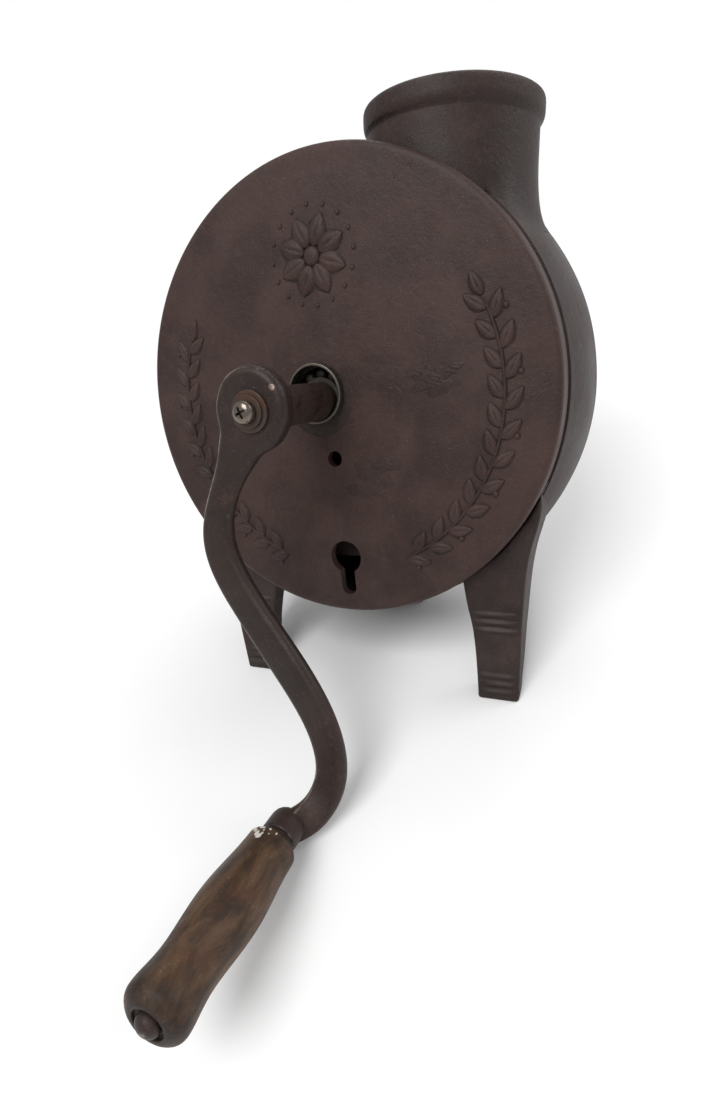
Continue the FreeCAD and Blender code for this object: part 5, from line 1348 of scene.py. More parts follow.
@dataclass
class CasingCasting:
    """The drum with its feed throat, its three legs, the rear boss and the spring's barrel.

    Attributes:
        wall: The drum's wall.
        front_radius, belly_depth, corner: The drum's radius behind the cover, how far behind it the drum is
            widest, and the radius of its rear corner.
        throat_across, throat_depth, throat_base: Where the throat's line starts.
        throat_lean: The throat's lean to the right, in radians.
        throat_radius, bore_radius, throat_height, bead_proud, bead_height: The throat's outline.
        skirt_across, skirt_depth: How far its skirt runs out over the drum.
        leg_front, leg_thickness, flange_width, flange_depth, hip: The legs' section and where it starts to thin.
        leg_outer, leg_inner, leg_inner_left: Stations of the legs' edges, as drop and distance from the middle.
        ridge_radius, ridge_pitch, ridge_rows, ridges_up: The ridges across the legs, and their height above the toe.
        boss_radius, boss_bore: The rear bearing's boss.
        barrel_radius, barrel_bore, barrel_x, barrel_z: The spring's barrel.
        screw_seat_radius, screw_inset, screw_angles: The cover's screws.
        pillar_radius, pillar_bore: The pillars that the screws run through.
        sole_front, sole_back, sole_half, sole_thickness: The rear sole.
        hold_down_radius, hold_down_depth: The hole through the sole.
        chutes, chute_front, chute_top: The chutes below, as left, right and back, with what they share.
        high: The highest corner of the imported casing.
    """

    wall: float = 5.0
    front_radius: float = 116.0
    belly_depth: float = 39.0
    corner: float = 30.0
    throat_across: float = 55.3
    throat_depth: float = 45.5
    throat_base: float = 69.0
    throat_lean: float = math.radians(4.5)
    throat_radius: float = 40.6
    bore_radius: float = 36.0
    throat_height: float = 59.05
    bead_proud: float = 2.1
    bead_height: float = 11.0
    skirt_across: float = 15.0
    skirt_depth: float = 4.5
    leg_front: float = 11.0
    leg_thickness: float = 10.5
    hip: float = 85.3
    leg_outer: tuple = ((46.9, 101.6), (58.0, 102.4), (70.0, 100.0), (80.0, 96.8), (93.5, 93.9), (110.0, 92.0),
                        (127.0, 90.4), (149.0, 88.8), (169.0, 87.4), (176.0, 86.9))
    leg_inner: tuple = ((92.0, 60.6), (105.0, 61.9), (112.7, 62.9), (120.0, 64.2), (129.3, 65.3), (145.7, 65.9),
                        (176.0, 65.8))
    leg_inner_left: tuple = ((92.0, 51.0), (104.3, 55.0), (112.0, 57.4), (120.0, 59.8), (131.0, 62.4),
                             (145.7, 64.6), (176.0, 65.8))
    flange_width: float = 8.0
    flange_depth: float = 23.0
    ridge_radius: float = 1.5
    ridge_pitch: float = 4.5
    ridge_rows: int = 3
    ridges_up: tuple = (49.4, 14.5)
    boss_radius: float = 26.0
    boss_bore: float = 18.05
    barrel_radius: float = 13.0
    barrel_bore: float = 9.8
    barrel_x: float = 52.0
    barrel_z: float = -8.0
    screw_seat_radius: float = 5.4
    screw_inset: float = 9.5
    screw_angles: tuple = (20.0, 128.0, 205.0, 335.0)
    pillar_radius: float = 7.0
    pillar_bore: float = 2.5
    sole_front: float = 72.0
    sole_back: float = 131.5
    sole_half: float = 14.0
    sole_thickness: float = 7.0
    hold_down_radius: float = 3.5
    hold_down_depth: float = 119.0
    chutes: tuple = ((18.0, 78.0, 86.0), (-72.0, -33.0, 52.0))
    chute_front: float = 28.0
    chute_top: float = -66.0
    high: Array = field(default_factory=lambda: node_span("rear_casing")[1])

    def __post_init__(self) -> None:
        """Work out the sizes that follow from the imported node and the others."""
        self.radius = float(self.high[0])
        self.cover_depth = float(node_span("front_cover")[1][1])
        self.back = float(node_span("cover_screws")[1][1]) + 3.8
        self.belly = self.radius - self.front_radius
        self.leg_drop = float(STANCE.table_drop(self.leg_front))
        self.throat_along = np.array([math.sin(self.throat_lean), 0.0, math.cos(self.throat_lean)])
        self.throat_side = np.array([math.cos(self.throat_lean), 0.0, -math.sin(self.throat_lean)])

    def drum_radius(self, depth: Array) -> Array:
        """Return the drum's outer radius at a depth: a flat belly arc, a straight side and a round corner."""
        depth = np.asarray(depth, float)
        sweep = (self.belly ** 2 + self.belly_depth ** 2) / (2.0 * self.belly)
        widest = self.cover_depth + self.belly_depth
        belly = self.radius - sweep + np.sqrt(np.clip(sweep ** 2 - (depth - widest) ** 2, 0.0, None))
        turn = self.back - self.corner
        bend = self.radius - self.corner + np.sqrt(np.clip(self.corner ** 2 - (depth - turn) ** 2, 0.0, None))
        side = np.where(depth < widest, belly, np.where(depth < turn, self.radius, bend))
        return np.where(depth < self.cover_depth, self.front_radius - 3.0, side)

    def drum(self) -> Surface:
        """Turn the drum's bowl, open at the front, with its wall."""
        depth = np.linspace(self.cover_depth, self.back - self.corner, 30)
        side = np.stack([self.drum_radius(depth + 1e-6), depth], axis=1)
        angle = np.linspace(0.0, math.pi / 2, 22)[1:]
        centre = np.array([self.radius - self.corner, self.back - self.corner])
        quarter = np.stack([np.cos(angle), np.sin(angle)], axis=1)
        flat = np.stack([np.linspace(centre[0], 0.3, 22)[1:], np.full(21, self.back)], axis=1)
        outer = np.vstack([side, centre + self.corner * quarter, flat])
        inner = np.vstack([side - [self.wall, 0.0], centre + (self.corner - self.wall) * quarter,
                           flat - [0.0, self.wall]])[::-1]
        lip = [[self.front_radius - 0.25, self.cover_depth + 0.02]]
        profile = np.vstack([inner, lip, outer])
        turn = columns_round(288)
        grid = Axis.of_shaft().at(profile[:, 0:1], profile[:, 1:2], turn[None, :])
        wave = (np.sin(turn * 5 + 0.7)[None, :] * np.sin(profile[:, 1:2] / 14.0)
                + np.sin(turn * 13 + 2.1)[None, :] * np.sin(profile[:, 1:2] / 9.0 + 1.0))
        is_side = (np.arange(len(profile)) > len(inner))[:, None] & (profile[:, 1:2] > self.cover_depth + 3)
        grid[..., [0, 2]] *= (1.0 - 0.0009 * np.clip(wave + 1.2, 0.0, None) * is_side)[..., None]
        wear = rubbed(profile, self.front_radius, self.cover_depth, 0.0, 1.0, 0.45)[:, None]
        wear = wear * (0.7 + 0.3 * np.sin(turn * 11.0))[None, :]
        # A bright band round the drum's side: rubbed speckle, and painted sheen where the side catches the light.
        flank_wear_and_sheen = bump(profile[:, 1:2], self.cover_depth + 15.0, 14.0) * (profile[:, 0:1] > self.front_radius)
        wear = np.maximum(wear, 0.62 * flank_wear_and_sheen)
        # The drum darkens towards the bottom and near the throat; its inside is painted dark as shade.
        low_side = smooth_step(-grid[..., 2], 40.0, 120.0) * 0.6
        near_throat = bump(np.hypot(grid[..., 0] - self.throat_across, grid[..., 2] - 100.0), 0.0, 50.0)
        grime = np.maximum(0.6 * low_side, 0.5 * near_throat)
        grime = np.where((np.arange(len(profile)) < len(inner))[:, None], 1.6, grime)
        return Surface.from_grid(grid, marks={"wear": wear, "rust": grime})

    def throat_point(self, radius: Array, along: Array, angle: Array) -> Array:
        """Return base + along * line + radius * (side cos a + depth sin a)."""
        base = np.array([self.throat_across, self.throat_depth, self.throat_base])
        radius, along, angle = np.broadcast_arrays(radius, along, angle)
        return (base + along[..., None] * self.throat_along
                + (radius * np.cos(angle))[..., None] * self.throat_side
                + (radius * np.sin(angle))[..., None] * INWARD)

    def meet_drum(self, radius: float, angle: Array, inset: float) -> Array:
        """Return how far along the throat its wall meets the drum.

        A point base + s * line has the distance R from the shaft's line where s solves
        s^2 + 2 s (p . line) + p . p - R^2 = 0, with p the point at s = 0 seen along the shaft.

        Args:
            radius: The wall's radius about the throat's line.
            angle: The columns' angles.
            inset: How far inside the drum's outside the meeting surface lies.

        Returns:
            One place for each angle.
        """
        start = self.throat_point(radius, np.zeros_like(angle), angle)
        reach = self.drum_radius(start[:, 1]) - np.where(start[:, 1] > self.cover_depth, inset, 0.0)
        flat = start[:, [0, 2]]
        half = flat @ self.throat_along[[0, 2]]
        return -half + np.sqrt(np.clip(half ** 2 - np.sum(flat ** 2, axis=1) + reach ** 2, 0.0, None))

    def throat(self) -> Surface:
        """Make the throat: its bore, its rolled rim, its wall and the skirt that runs out onto the drum.

        For each angle the skirt is the curve (1 - t)^2 T + 2 t (1 - t) P + t^2 F, where T lies on the wall,
        P where the wall meets the drum and F further out on the drum.
        """
        angle = columns_round(160)
        top = self.throat_height
        bead_foot = top - self.bead_height
        bead = self.throat_radius + self.bead_proud
        meet = self.meet_drum(self.throat_radius, angle, 0.0)
        low_bore = self.meet_drum(self.bore_radius, angle, self.wall)
        foot_along = np.minimum(meet, bead_foot - 2.0)
        skirt_top = np.minimum(foot_along + 25.0, bead_foot - 1.2)
        outline = [[self.bore_radius, 0.0], [self.bore_radius, top], [bead, top], [bead, bead_foot + 2.3],
                   [self.throat_radius, bead_foot - 0.3], [self.throat_radius, bead_foot - 1.2]]
        rim = rounded(outline, [0, 1.5, 3.2, 2.6, 1.4, 0], steps=7)[1:]
        bore_rows = [self.throat_point(self.bore_radius, low_bore + (rim[0, 1] - low_bore) * share, angle)
                     for share in np.linspace(0.0, 1.0, 14)[:-1]]
        rim_rows = [self.throat_point(radius, along, angle) for radius, along in rim]
        wall_rows = [self.throat_point(self.throat_radius, rim[-1, 1] + (skirt_top - rim[-1, 1]) * share, angle)
                     for share in np.linspace(0.0, 1.0, 8)[1:-1]]
        above = self.throat_point(self.throat_radius, skirt_top, angle)
        corner = self.throat_point(self.throat_radius, foot_along, angle)
        spread = self.skirt_across * np.cos(angle) ** 2 + self.skirt_depth * np.sin(angle) ** 2
        spread = spread * smooth_step(corner[:, 1], self.cover_depth - 3.0, self.cover_depth + 6.0)
        out = self.throat_point(self.throat_radius + spread, foot_along, angle)
        out[:, 1] = np.where(spread > 0.05, np.clip(out[:, 1], self.cover_depth + 0.1, None), out[:, 1])
        reach = self.drum_radius(out[:, 1])
        foot = out.copy()
        foot[:, [0, 2]] *= (reach / np.hypot(out[:, 0], out[:, 2]))[:, None]
        skirt_rows = [(1 - t) ** 2 * above + 2 * t * (1 - t) * corner + t ** 2 * foot
                      for t in np.linspace(0.0, 1.0, 18)]
        sunk = foot.copy()
        sunk[:, [0, 2]] *= (1.0 - 1.6 / reach)[:, None]
        rows = bore_rows + rim_rows + wall_rows + skirt_rows + [sunk]
        wear = np.zeros(len(rows))
        first = len(bore_rows)
        wear[first:first + len(rim)] = (rubbed(rim, bead, top, 1.6, 1.5, 0.6)
                                        + 0.2 * bump(rim[:, 1], bead_foot + 2.3, 1.2))
        rust = np.zeros(len(rows))
        rust[first + len(rim):] = np.linspace(0.1, 0.8, len(rows) - first - len(rim))
        rust[:first] = 0.9
        return Surface.from_grid(np.stack(rows), loop=True,
                                 marks={"wear": wear[:, None], "rust": rust[:, None]})

    def leg_outline(self, drop: Array, side: float) -> tuple:
        """Return the leg's inner and outer edge at a drop below the shaft's height.

        Each edge is the spline through its stations. Where the inner one would leave the drum, it stays on it.
        """
        outer = np.array(self.leg_outer)
        inner = np.array(self.leg_inner if side > 0 else self.leg_inner_left)
        buried = np.sqrt(np.clip((self.front_radius - 0.6) ** 2 - drop ** 2, 0.0, None))
        inside = spline(inner[:, 0], inner[:, 1], np.clip(drop, inner[0, 0], None))[:, 0]
        return np.maximum(inside, buried), spline(outer[:, 0], outer[:, 1], drop)[:, 0]

    def front_leg(self, side: float) -> Surface:
        """Carry the leg's angled section down from the drum to the table.

        The section is a plate with a flange along its outer edge. The flange grows shallower down the shin,
        three ridges cross the plate at the ankle and three at the toe, and the last rows follow the table.

        Args:
            side: 1 for the right leg, -1 for the left one.

        Returns:
            The leg.
        """
        drop = np.concatenate([np.linspace(47.0, 108.0, 60), np.arange(108.6, self.leg_drop - 0.7, 0.55)])
        inside, outside = self.leg_outline(drop, side)
        front = np.full_like(drop, self.leg_front)
        plate_back = front + self.leg_thickness
        share = np.clip((drop - self.hip) / (self.leg_drop - self.hip), 0.0, 1.0)
        flange_back = front + self.flange_depth + (self.leg_thickness - self.flange_depth) * share
        flange_back = np.maximum(flange_back, plate_back + 0.05)
        web = np.maximum(outside - self.flange_width, inside + 0.4)
        corners = np.stack([np.stack(pair, axis=1) for pair in (
            (inside, front), (outside, front), (outside, flange_back), (web, flange_back), (web, plate_back),
            (inside, plate_back))], axis=1)
        section = rounded(corners, [1.7, 2.2, 2.2, 1.8, 3.0, 1.7], steps=6, closed=True, between=5)
        ridges = np.concatenate([self.leg_drop - up + self.ridge_pitch * np.arange(self.ridge_rows)
                                 for up in self.ridges_up])
        away = np.min(np.abs(drop[:, None] - ridges), axis=1)
        rise = np.clip(np.sqrt(np.clip(self.ridge_radius ** 2 - away ** 2, 0.0, None)) - 0.45, 0.0, None)[:, None]
        x, y = section[..., 0], section[..., 1]
        on_front = y < self.leg_front + 0.02
        window = (smooth_step(x, inside[:, None] + 1.6, inside[:, None] + 2.6)
                  * (1.0 - smooth_step(x, outside[:, None] - 3.0, outside[:, None] - 2.0)))
        y = y - np.where(on_front, rise * window, 0.0)
        slope = -STANCE.depth[2] / STANCE.rise[2]
        follow = smooth_step(drop, self.leg_drop - 26.0, self.leg_drop - 0.6)[:, None]
        down = drop[:, None] - slope * (y - self.leg_front) * follow
        grid = np.stack([x * side, y, -down], axis=-1)
        toe = grid[-1].copy()
        middle = toe.mean(axis=0)
        toe[:, 0] = middle[0] + (toe[:, 0] - middle[0]) * 0.955
        toe[:, 1] = middle[1] + (toe[:, 1] - middle[1]) * 0.9
        toe[:, 2] = -STANCE.table_drop(toe[:, 1])
        grid = np.concatenate([grid, toe[None]], axis=0)
        count = section.shape[1]
        per_corner = count // 6
        position = np.arange(count)
        in_corner = (position % per_corner) < 6
        outer_edges = in_corner & (position // per_corner < 2)
        wear = np.where(outer_edges, 0.5, np.where(in_corner, 0.25, 0.0))[None, :] + 0.35 * rise * window
        wear = np.vstack([wear, np.full((1, count), 0.4)])
        rust = np.concatenate([smooth_step(drop, 100.0, 165.0), [1.0]])[:, None] * 0.7
        rust = rust + np.zeros_like(wear)
        return Surface.from_grid(grid, marks={"wear": wear, "rust": rust})

    def rear_web(self) -> Surface:
        """Make the rear leg's curved plate from the drum's back down to the sole."""
        heel, toe, hip_drop, thickness = 106.0, 79.0, 52.0, 10.0
        table_at_heel, table_at_toe = (float(STANCE.table_drop(depth)) - 1.0 for depth in (heel, toe))
        curve = arc_through((heel, table_at_heel), (self.back - 2.5, hip_drop), -62.0, 20)
        outline = spaced(np.vstack([[[65.0, 91.5], [toe, table_at_toe]], curve,
                                    [[self.back - 32.5, hip_drop]]]), 3.0, closed=True)

        def place(flat: Array, height: Array) -> Array:
            return np.stack([height - thickness / 2.0, flat[:, 0], -flat[:, 1]], axis=-1)

        return slab(outline, place, thickness, 2.4)

    def rear_sole(self) -> Surface:
        """Make the rear leg's sole, a flat tongue along the table."""
        lean, half = STANCE.lean(), self.sole_half
        length = (self.sole_back - self.sole_front) / math.cos(lean)
        outline = rounded([[-half, 0.0], [half, 0.0], [half, length], [-half, length]], [3.0, 3.0, 9.0, 9.0], 8,
                          closed=True)
        start = np.array([0.0, self.sole_front, -float(STANCE.table_drop(self.sole_front))])
        run = np.array([0.0, math.cos(lean), math.sin(lean)])
        up = np.array([0.0, -math.sin(lean), math.cos(lean)])

        def place(flat: Array, height: Array) -> Array:
            return start + flat[:, 0:1] * ACROSS + flat[:, 1:2] * run + height[:, None] * up

        return slab(spaced(outline, 3.0, closed=True), place, self.sole_thickness, 1.6)

    def sole_plug(self) -> Surface:
        """Return the plug for the sole's screw hole, square to the table."""
        depth, radius = self.hold_down_depth, self.hold_down_radius
        start = np.array([0.0, depth, -float(STANCE.table_drop(depth))])
        up = np.array([0.0, -math.sin(STANCE.lean()), math.cos(STANCE.lean())])
        return turned([[radius, -5.0], [radius, 15.0]], Axis(start, up, ACROSS), 40)

    def collar(self, axis: Axis, bore: float, radius: float, ends: tuple, flare: float, taper: float,
               radii: Sequence[float], segments: int, rub: tuple) -> Surface:
        """Turn a bored collar that stands out of the drum's back on a fillet.

        Args:
            axis: Its line.
            bore, radius: Its radii.
            ends: Where it starts and ends, from the drum's back.
            flare: How far its fillet runs out.
            taper: How much narrower its end is.
            radii: One radius for each corner of its section.
            segments: How many columns go round.
            rub: The distance and width of the wear at its outer edge.

        Returns:
            The collar.
        """
        near, far = self.back + ends[0], self.back + ends[1]
        inside, out = self.back - 1.0, self.back + 0.05
        return ring([[bore, near], [radius, near], [radius, inside], [radius + flare, inside],
                     [radius + flare, out], [radius, out], [radius - taper, far], [bore, far]],
                    radii, 6, axis, segments, (radius, far, *rub))

    def rear_boss(self) -> Surface:
        """Turn the boss for the rear bearing."""
        return self.collar(SHAFT, self.boss_bore, self.boss_radius, (-13.0, 6.0), 4.0, 0.4,
                           [0.4, 1.0, 0.2, 0.2, 0.1, 3.6, 2.4, 0.7], 120, (1.0, 1.2))

    def barrel(self) -> Surface:
        """Turn the threaded barrel that holds the pressure spring's adjusting screw."""
        return self.collar(Axis.of_shaft(self.barrel_x, self.barrel_z), self.barrel_bore, self.barrel_radius,
                           (-5.0, 15.0), 3.5, 0.3, [0.3, 0.5, 0.2, 0.2, 0.1, 3.2, 1.6, 0.6], 80, (0.8, 1.0))

    def screw_lines(self) -> list:
        """Return the lines of the cover's screws."""
        circle = float(node_span("front_cover")[1][0]) - self.screw_inset
        return [Axis.of_shaft(circle * math.cos(angle), circle * math.sin(angle))
                for angle in np.radians(self.screw_angles)]

    def pillars(self) -> list:
        """Turn the pillars inside the drum that the cover's screws run through."""
        front, back = self.cover_depth + 0.1, self.back - 8.9
        corners = [[self.pillar_bore, front], [self.pillar_radius, front], [self.pillar_radius, back],
                   [self.pillar_bore, back]]
        return [ring(corners, [0.3, 0.6, 0.3, 0.3], 3, line, 48) for line in self.screw_lines()]

    def plugs(self) -> list:
        """Return what is cut out of the drum: throat, bearing, barrel, screw seats and the two chutes."""
        base = np.array([self.throat_across, self.throat_depth, self.throat_base])
        bore = self.bore_radius + 0.02
        made = [turned([[bore, -4.0], [bore, 70.0]], Axis(base, self.throat_along, self.throat_side), 160)]
        ends = np.array([[1.0, self.back - 12.0], [1.0, self.back + 12.0]])
        made.append(turned(ends * [20.0, 1.0], SHAFT))
        made.append(turned(ends * [11.0, 1.0], Axis.of_shaft(self.barrel_x, self.barrel_z), 64))
        seat = [[self.screw_seat_radius, self.back - 13.0], [self.screw_seat_radius, self.back + 12.0]]
        made += [turned(seat, line, 48) for line in self.screw_lines()]
        for left, right, back in self.chutes:
            outline = rounded([[left, self.chute_front], [right, self.chute_front], [right, back], [left, back]],
                              [4.0] * 4, 7, closed=True)
            made.append(prism(outline, (-self.radius - 15.0, self.chute_top), 2))
        return made

    def build(self, finishes: Finishes) -> None:
        """Make the casing's pieces."""
        drum = self.drum().to_object("casing_drum")
        carve(drum, self.plugs(), "drum_plugs")
        sole = self.rear_sole().to_object("casing_rear_sole")
        carve(sole, [self.sole_plug()], "sole_plug")
        pieces = [
            drum, sole,
            self.throat().to_object("casing_throat", 50.0),
            self.front_leg(1.0).to_object("casing_right_leg", 50.0),
            self.front_leg(-1.0).to_object("casing_left_leg", 50.0),
            self.rear_web().to_object("casing_rear_leg"),
            self.rear_boss().to_object("casing_rear_boss", 50.0),
            self.barrel().to_object("casing_spring_barrel", 50.0),
            Surface.joined(self.pillars()).to_object("casing_screw_pillars"),
        ]
        for piece in pieces:
            finishes.dress(piece, "casing_iron")
            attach(piece, "housing")
            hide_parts("rear_casing")
        log.info("casing: %d pieces", len(pieces))


# The spring

@dataclass
class PlateSpring:
    """The coil spring behind the plunger, which shortens as the plunger moves back.

    Attributes:
        wire_radius: The wire's radius.
        turns: How often it goes round.
        joint: The plunger's joint.
    """

    wire_radius: float = 0.75
    turns: int = 5
    joint: str = "plunger_slide"

    def coil(self) -> Surface:
        """Carry a round section along the helix (R cos t, p t, R sin t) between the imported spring's ends."""
        low, high = node_span("pressure_spring")
        middle, radius = (low + high) / 2.0, (high[0] - low[0]) / 2.0 - self.wire_radius
        turn = np.linspace(0.0, TAU * self.turns, 28 * self.turns)
        along = np.linspace(low[1] + self.wire_radius, high[1] - self.wire_radius, len(turn))
        outward = np.stack([np.cos(turn), np.zeros_like(turn), np.sin(turn)], axis=1)
        line = np.stack(np.broadcast_arrays(middle[0], along, middle[2]), axis=1)
        section = columns_round(10)[None, :, None]
        return Surface.from_grid((radius * outward + line)[:, None, :]
                                 + self.wire_radius * (np.cos(section) * outward[:, None, :]
                                                       + np.sin(section) * INWARD))

    def build(self, finishes: Finishes) -> None:
        """Make the spring over the imported one and give it a mesh of its own."""
        spring = self.coil().to_object("spring_coil", 60.0)
        finishes.dress(spring, "spring_steel")
        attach(spring, "housing")
        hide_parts("pressure_spring")
        low, high = node_span("pressure_spring")
        travel = 1000.0 * joint(self.joint)["range_m"][1]
        rear = STANCE.to_row(np.array([(low[0] + high[0]) / 2.0, high[1], (low[2] + high[2]) / 2.0]))
        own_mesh(spring)
        log.info("spring: 1 piece")


# The crank

@dataclass(frozen=True)
class Station:
    """One place of the arm's middle line, from the shaft, with the arm's width there."""

    x: float
    y: float
    z: float
    width: float


def grip_axis(face: float) -> Axis:
    """Return the grip's line, whose places are counted so that the end boss's face lies at its own depth."""
    hinge = joint("grip_spin")
    way = np.array(hinge["axis"], float)
    along = np.array([way[0], way @ STANCE.depth, way @ STANCE.rise])
    along /= np.linalg.norm(along)
    across = ACROSS - along[0] * along
    return Axis(STANCE.to_machine(np.array(hinge["pos_m"])) - along * face, along, across / np.linalg.norm(across))


@dataclass
class Crank:
    """The S-shaped arm, which widens smoothly into its round hub and ends in the boss of the grip's spindle.

    Attributes:
        thickness, hub_thickness: How thick the arm and its hub are.
        edge: The radius of their edges.
        hub_radius: The round hub.
        boss_radius, boss_length, boss_face: The boss at the arm's end.
        chip, chip_radius: A chipped spot on the hub's face, as x and z, and its size.
        stations: The middle line from the hub's centre to the boss.
    """

    thickness: float = 9.0
    hub_thickness: float = 10.0
    edge: float = 3.6
    hub_radius: float = 18.3
    boss_radius: float = 9.0
    boss_face: float = -92.0
    boss_length: float = 15.0
    chip: tuple = (7.3, 9.1)
    chip_radius: tuple = (0.9, 1.7)
    stations: tuple = (
        Station(-1.0, -56.5, 1.2, 25.0), Station(-8.7, -56.5, -10.5, 22.6), Station(-19.5, -56.5, -27.0, 15.0),
        Station(-32.7, -56.5, -60.0, 16.8), Station(-20.4, -57.5, -92.0, 17.9), Station(0.3, -60.5, -121.0, 18.4),
        Station(19.5, -64.5, -161.5, 15.8), Station(17.2, -67.5, -181.0, 15.0),
        Station(9.1, -76.0, -192.5, 15.4), Station(1.9, -85.0, -194.2, 17.1),
    )

    def half_width(self, at: Array, width: Array) -> Array:
        """Return half of the outline's width at places along the middle line.

        It is the larger of the hub's circle sqrt(R^2 - s^2) and half of the arm's width, where the two are
        joined by (a + b + sqrt((a - b)^2 + k^2)) / 2 with k = 4 mm below the hub's centre and 0 above it.
        """
        circle = np.sqrt(np.clip(self.hub_radius ** 2 - at ** 2, 0.0, None))
        share = smooth_step(at, -4.0, 9.0)
        band = width / 2.0 * share
        return 0.5 * (circle + band + np.sqrt((circle - band) ** 2 + (4.0 * share) ** 2)) - 0.12 * share

    def arm(self) -> Surface:
        """Make the arm and its hub as one plate along the middle line.

        The middle line is the spline through the stations and runs straight on above the hub's centre. The
        plate's faces fall off towards the outline along a quarter round of the distance from it. At each
        step the side direction is square to the line and to the shaft.

        Returns:
            The plate, with thin bright wear along its left edge, stronger there as a painted highlight of the lit
            side.
        """
        table = np.array([[s.x - SHAFT_OFFSET, s.y, s.z, s.width] for s in self.stations])
        knots = np.concatenate([[0.0], np.cumsum(np.linalg.norm(np.diff(table[:, :3], axis=0), axis=1))])
        top = -self.hub_radius * np.cos(np.linspace(0.02, math.pi / 2, 26)[:-1])
        at = np.concatenate([top, np.linspace(0.0, knots[-1], 190)])
        path = spline(knots, table, np.clip(at, 0.0, None))
        first = path[len(top) + 1, :3] - path[len(top), :3]
        centre = path[:, :3] + np.minimum(at, 0.0)[:, None] * first / np.linalg.norm(first)
        half = self.half_width(at, path[:, 3])
        tangent = np.gradient(centre, axis=0)
        tangent /= np.linalg.norm(tangent, axis=1, keepdims=True)
        face = tangent * tangent[:, 1:2] - INWARD
        face /= np.linalg.norm(face, axis=1, keepdims=True)
        side = np.cross(face, tangent)
        fine = np.linspace(0.0, 1.0, 1500)
        edge_at = np.interp(fine, np.linspace(0.0, 1.0, len(at)), at)
        rim = np.stack([edge_at, np.interp(edge_at, at, half)], axis=1)
        share = np.sin(np.linspace(-math.pi / 2, math.pi / 2, 35))
        across = half[:, None] * share
        away = np.stack([np.min(np.hypot(rim[:, 0] - place, rim[:, 1] - np.abs(row)[:, None]), axis=1)
                         for place, row in zip(at, across)])
        away[:, [0, -1]] = 0.0
        thick = self.hub_thickness + (self.thickness - self.hub_thickness) * smooth_step(at, 8.0, 34.0)
        fall = self.edge - np.sqrt(self.edge ** 2 - np.clip(self.edge - away, 0.0, None) ** 2)
        crown = 0.3 * smooth_step(away, 0.0, 7.0) * smooth_step(at, 20.0, 40.0)[:, None]
        up = thick[:, None] - self.thickness / 2.0 - (self.hub_thickness - self.thickness) - fall - 0.3 + crown
        up = up + 0.3 * (1.0 - smooth_step(at, 20.0, 40.0))[:, None]
        down = -self.thickness / 2.0 - (thick - self.thickness)[:, None] + fall
        rows = [centre[:, None, :] + across[..., None] * side[:, None, :] + height[..., None] * face[:, None, :]
                for height in (up, down)]
        grid = np.concatenate([rows[0], rows[1][:, ::-1]], axis=1)
        # Rubbed edges, brighter on the left as a painted highlight of the lit side.
        line = bump(away, 1.1, 0.75) * np.where(share < 0, 0.95, 0.4)
        line = line * (0.75 + 0.25 * np.sin(at * 0.33 + 0.6) * np.sin(at * 0.071))[:, None]
        wear = np.concatenate([line, 0.3 * line[:, ::-1]], axis=1)
        chip = np.hypot(grid[..., 0] - self.chip[0], grid[..., 2] - self.chip[1])
        chip = 1.4 * (1.0 - smooth_step(chip, *self.chip_radius)) * (grid[..., 1] < -50.0)
        rust = 0.25 * bump(at, 21.0, 14.0) + 0.8 * bump(at, knots[-1], 14.0)
        return Surface.from_grid(grid, marks={"wear": np.maximum(wear, chip), "rust": rust[:, None]})

    def boss(self) -> Surface:
        """Turn the end boss, which is domed behind, about the grip's line."""
        front, back = self.boss_face, self.boss_face + self.boss_length
        corners = [[0.3, front], [self.boss_radius, front], [self.boss_radius, back], [0.3, back]]
        profile = spaced(rounded(corners, [0.0, 1.4, 6.0, 0.0], 9), 1.2)
        return turned(profile, grip_axis(self.boss_face), 72,
                      marks={"wear": rubbed(profile, self.boss_radius, front, 0.6, 0.7),
                             "rust": 0.5 * bump(profile[:, 1], front, 3.0)})

    def build(self, finishes: Finishes) -> None:
        """Make the crank's pieces."""
        for piece in (self.arm().to_object("crank_bar", 60.0), self.boss().to_object("crank_end_boss", 60.0)):
            finishes.dress(piece, "arm_iron")
            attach(piece, "crankshaft")
            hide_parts("crank_arm")
        log.info("crank: 2 pieces")


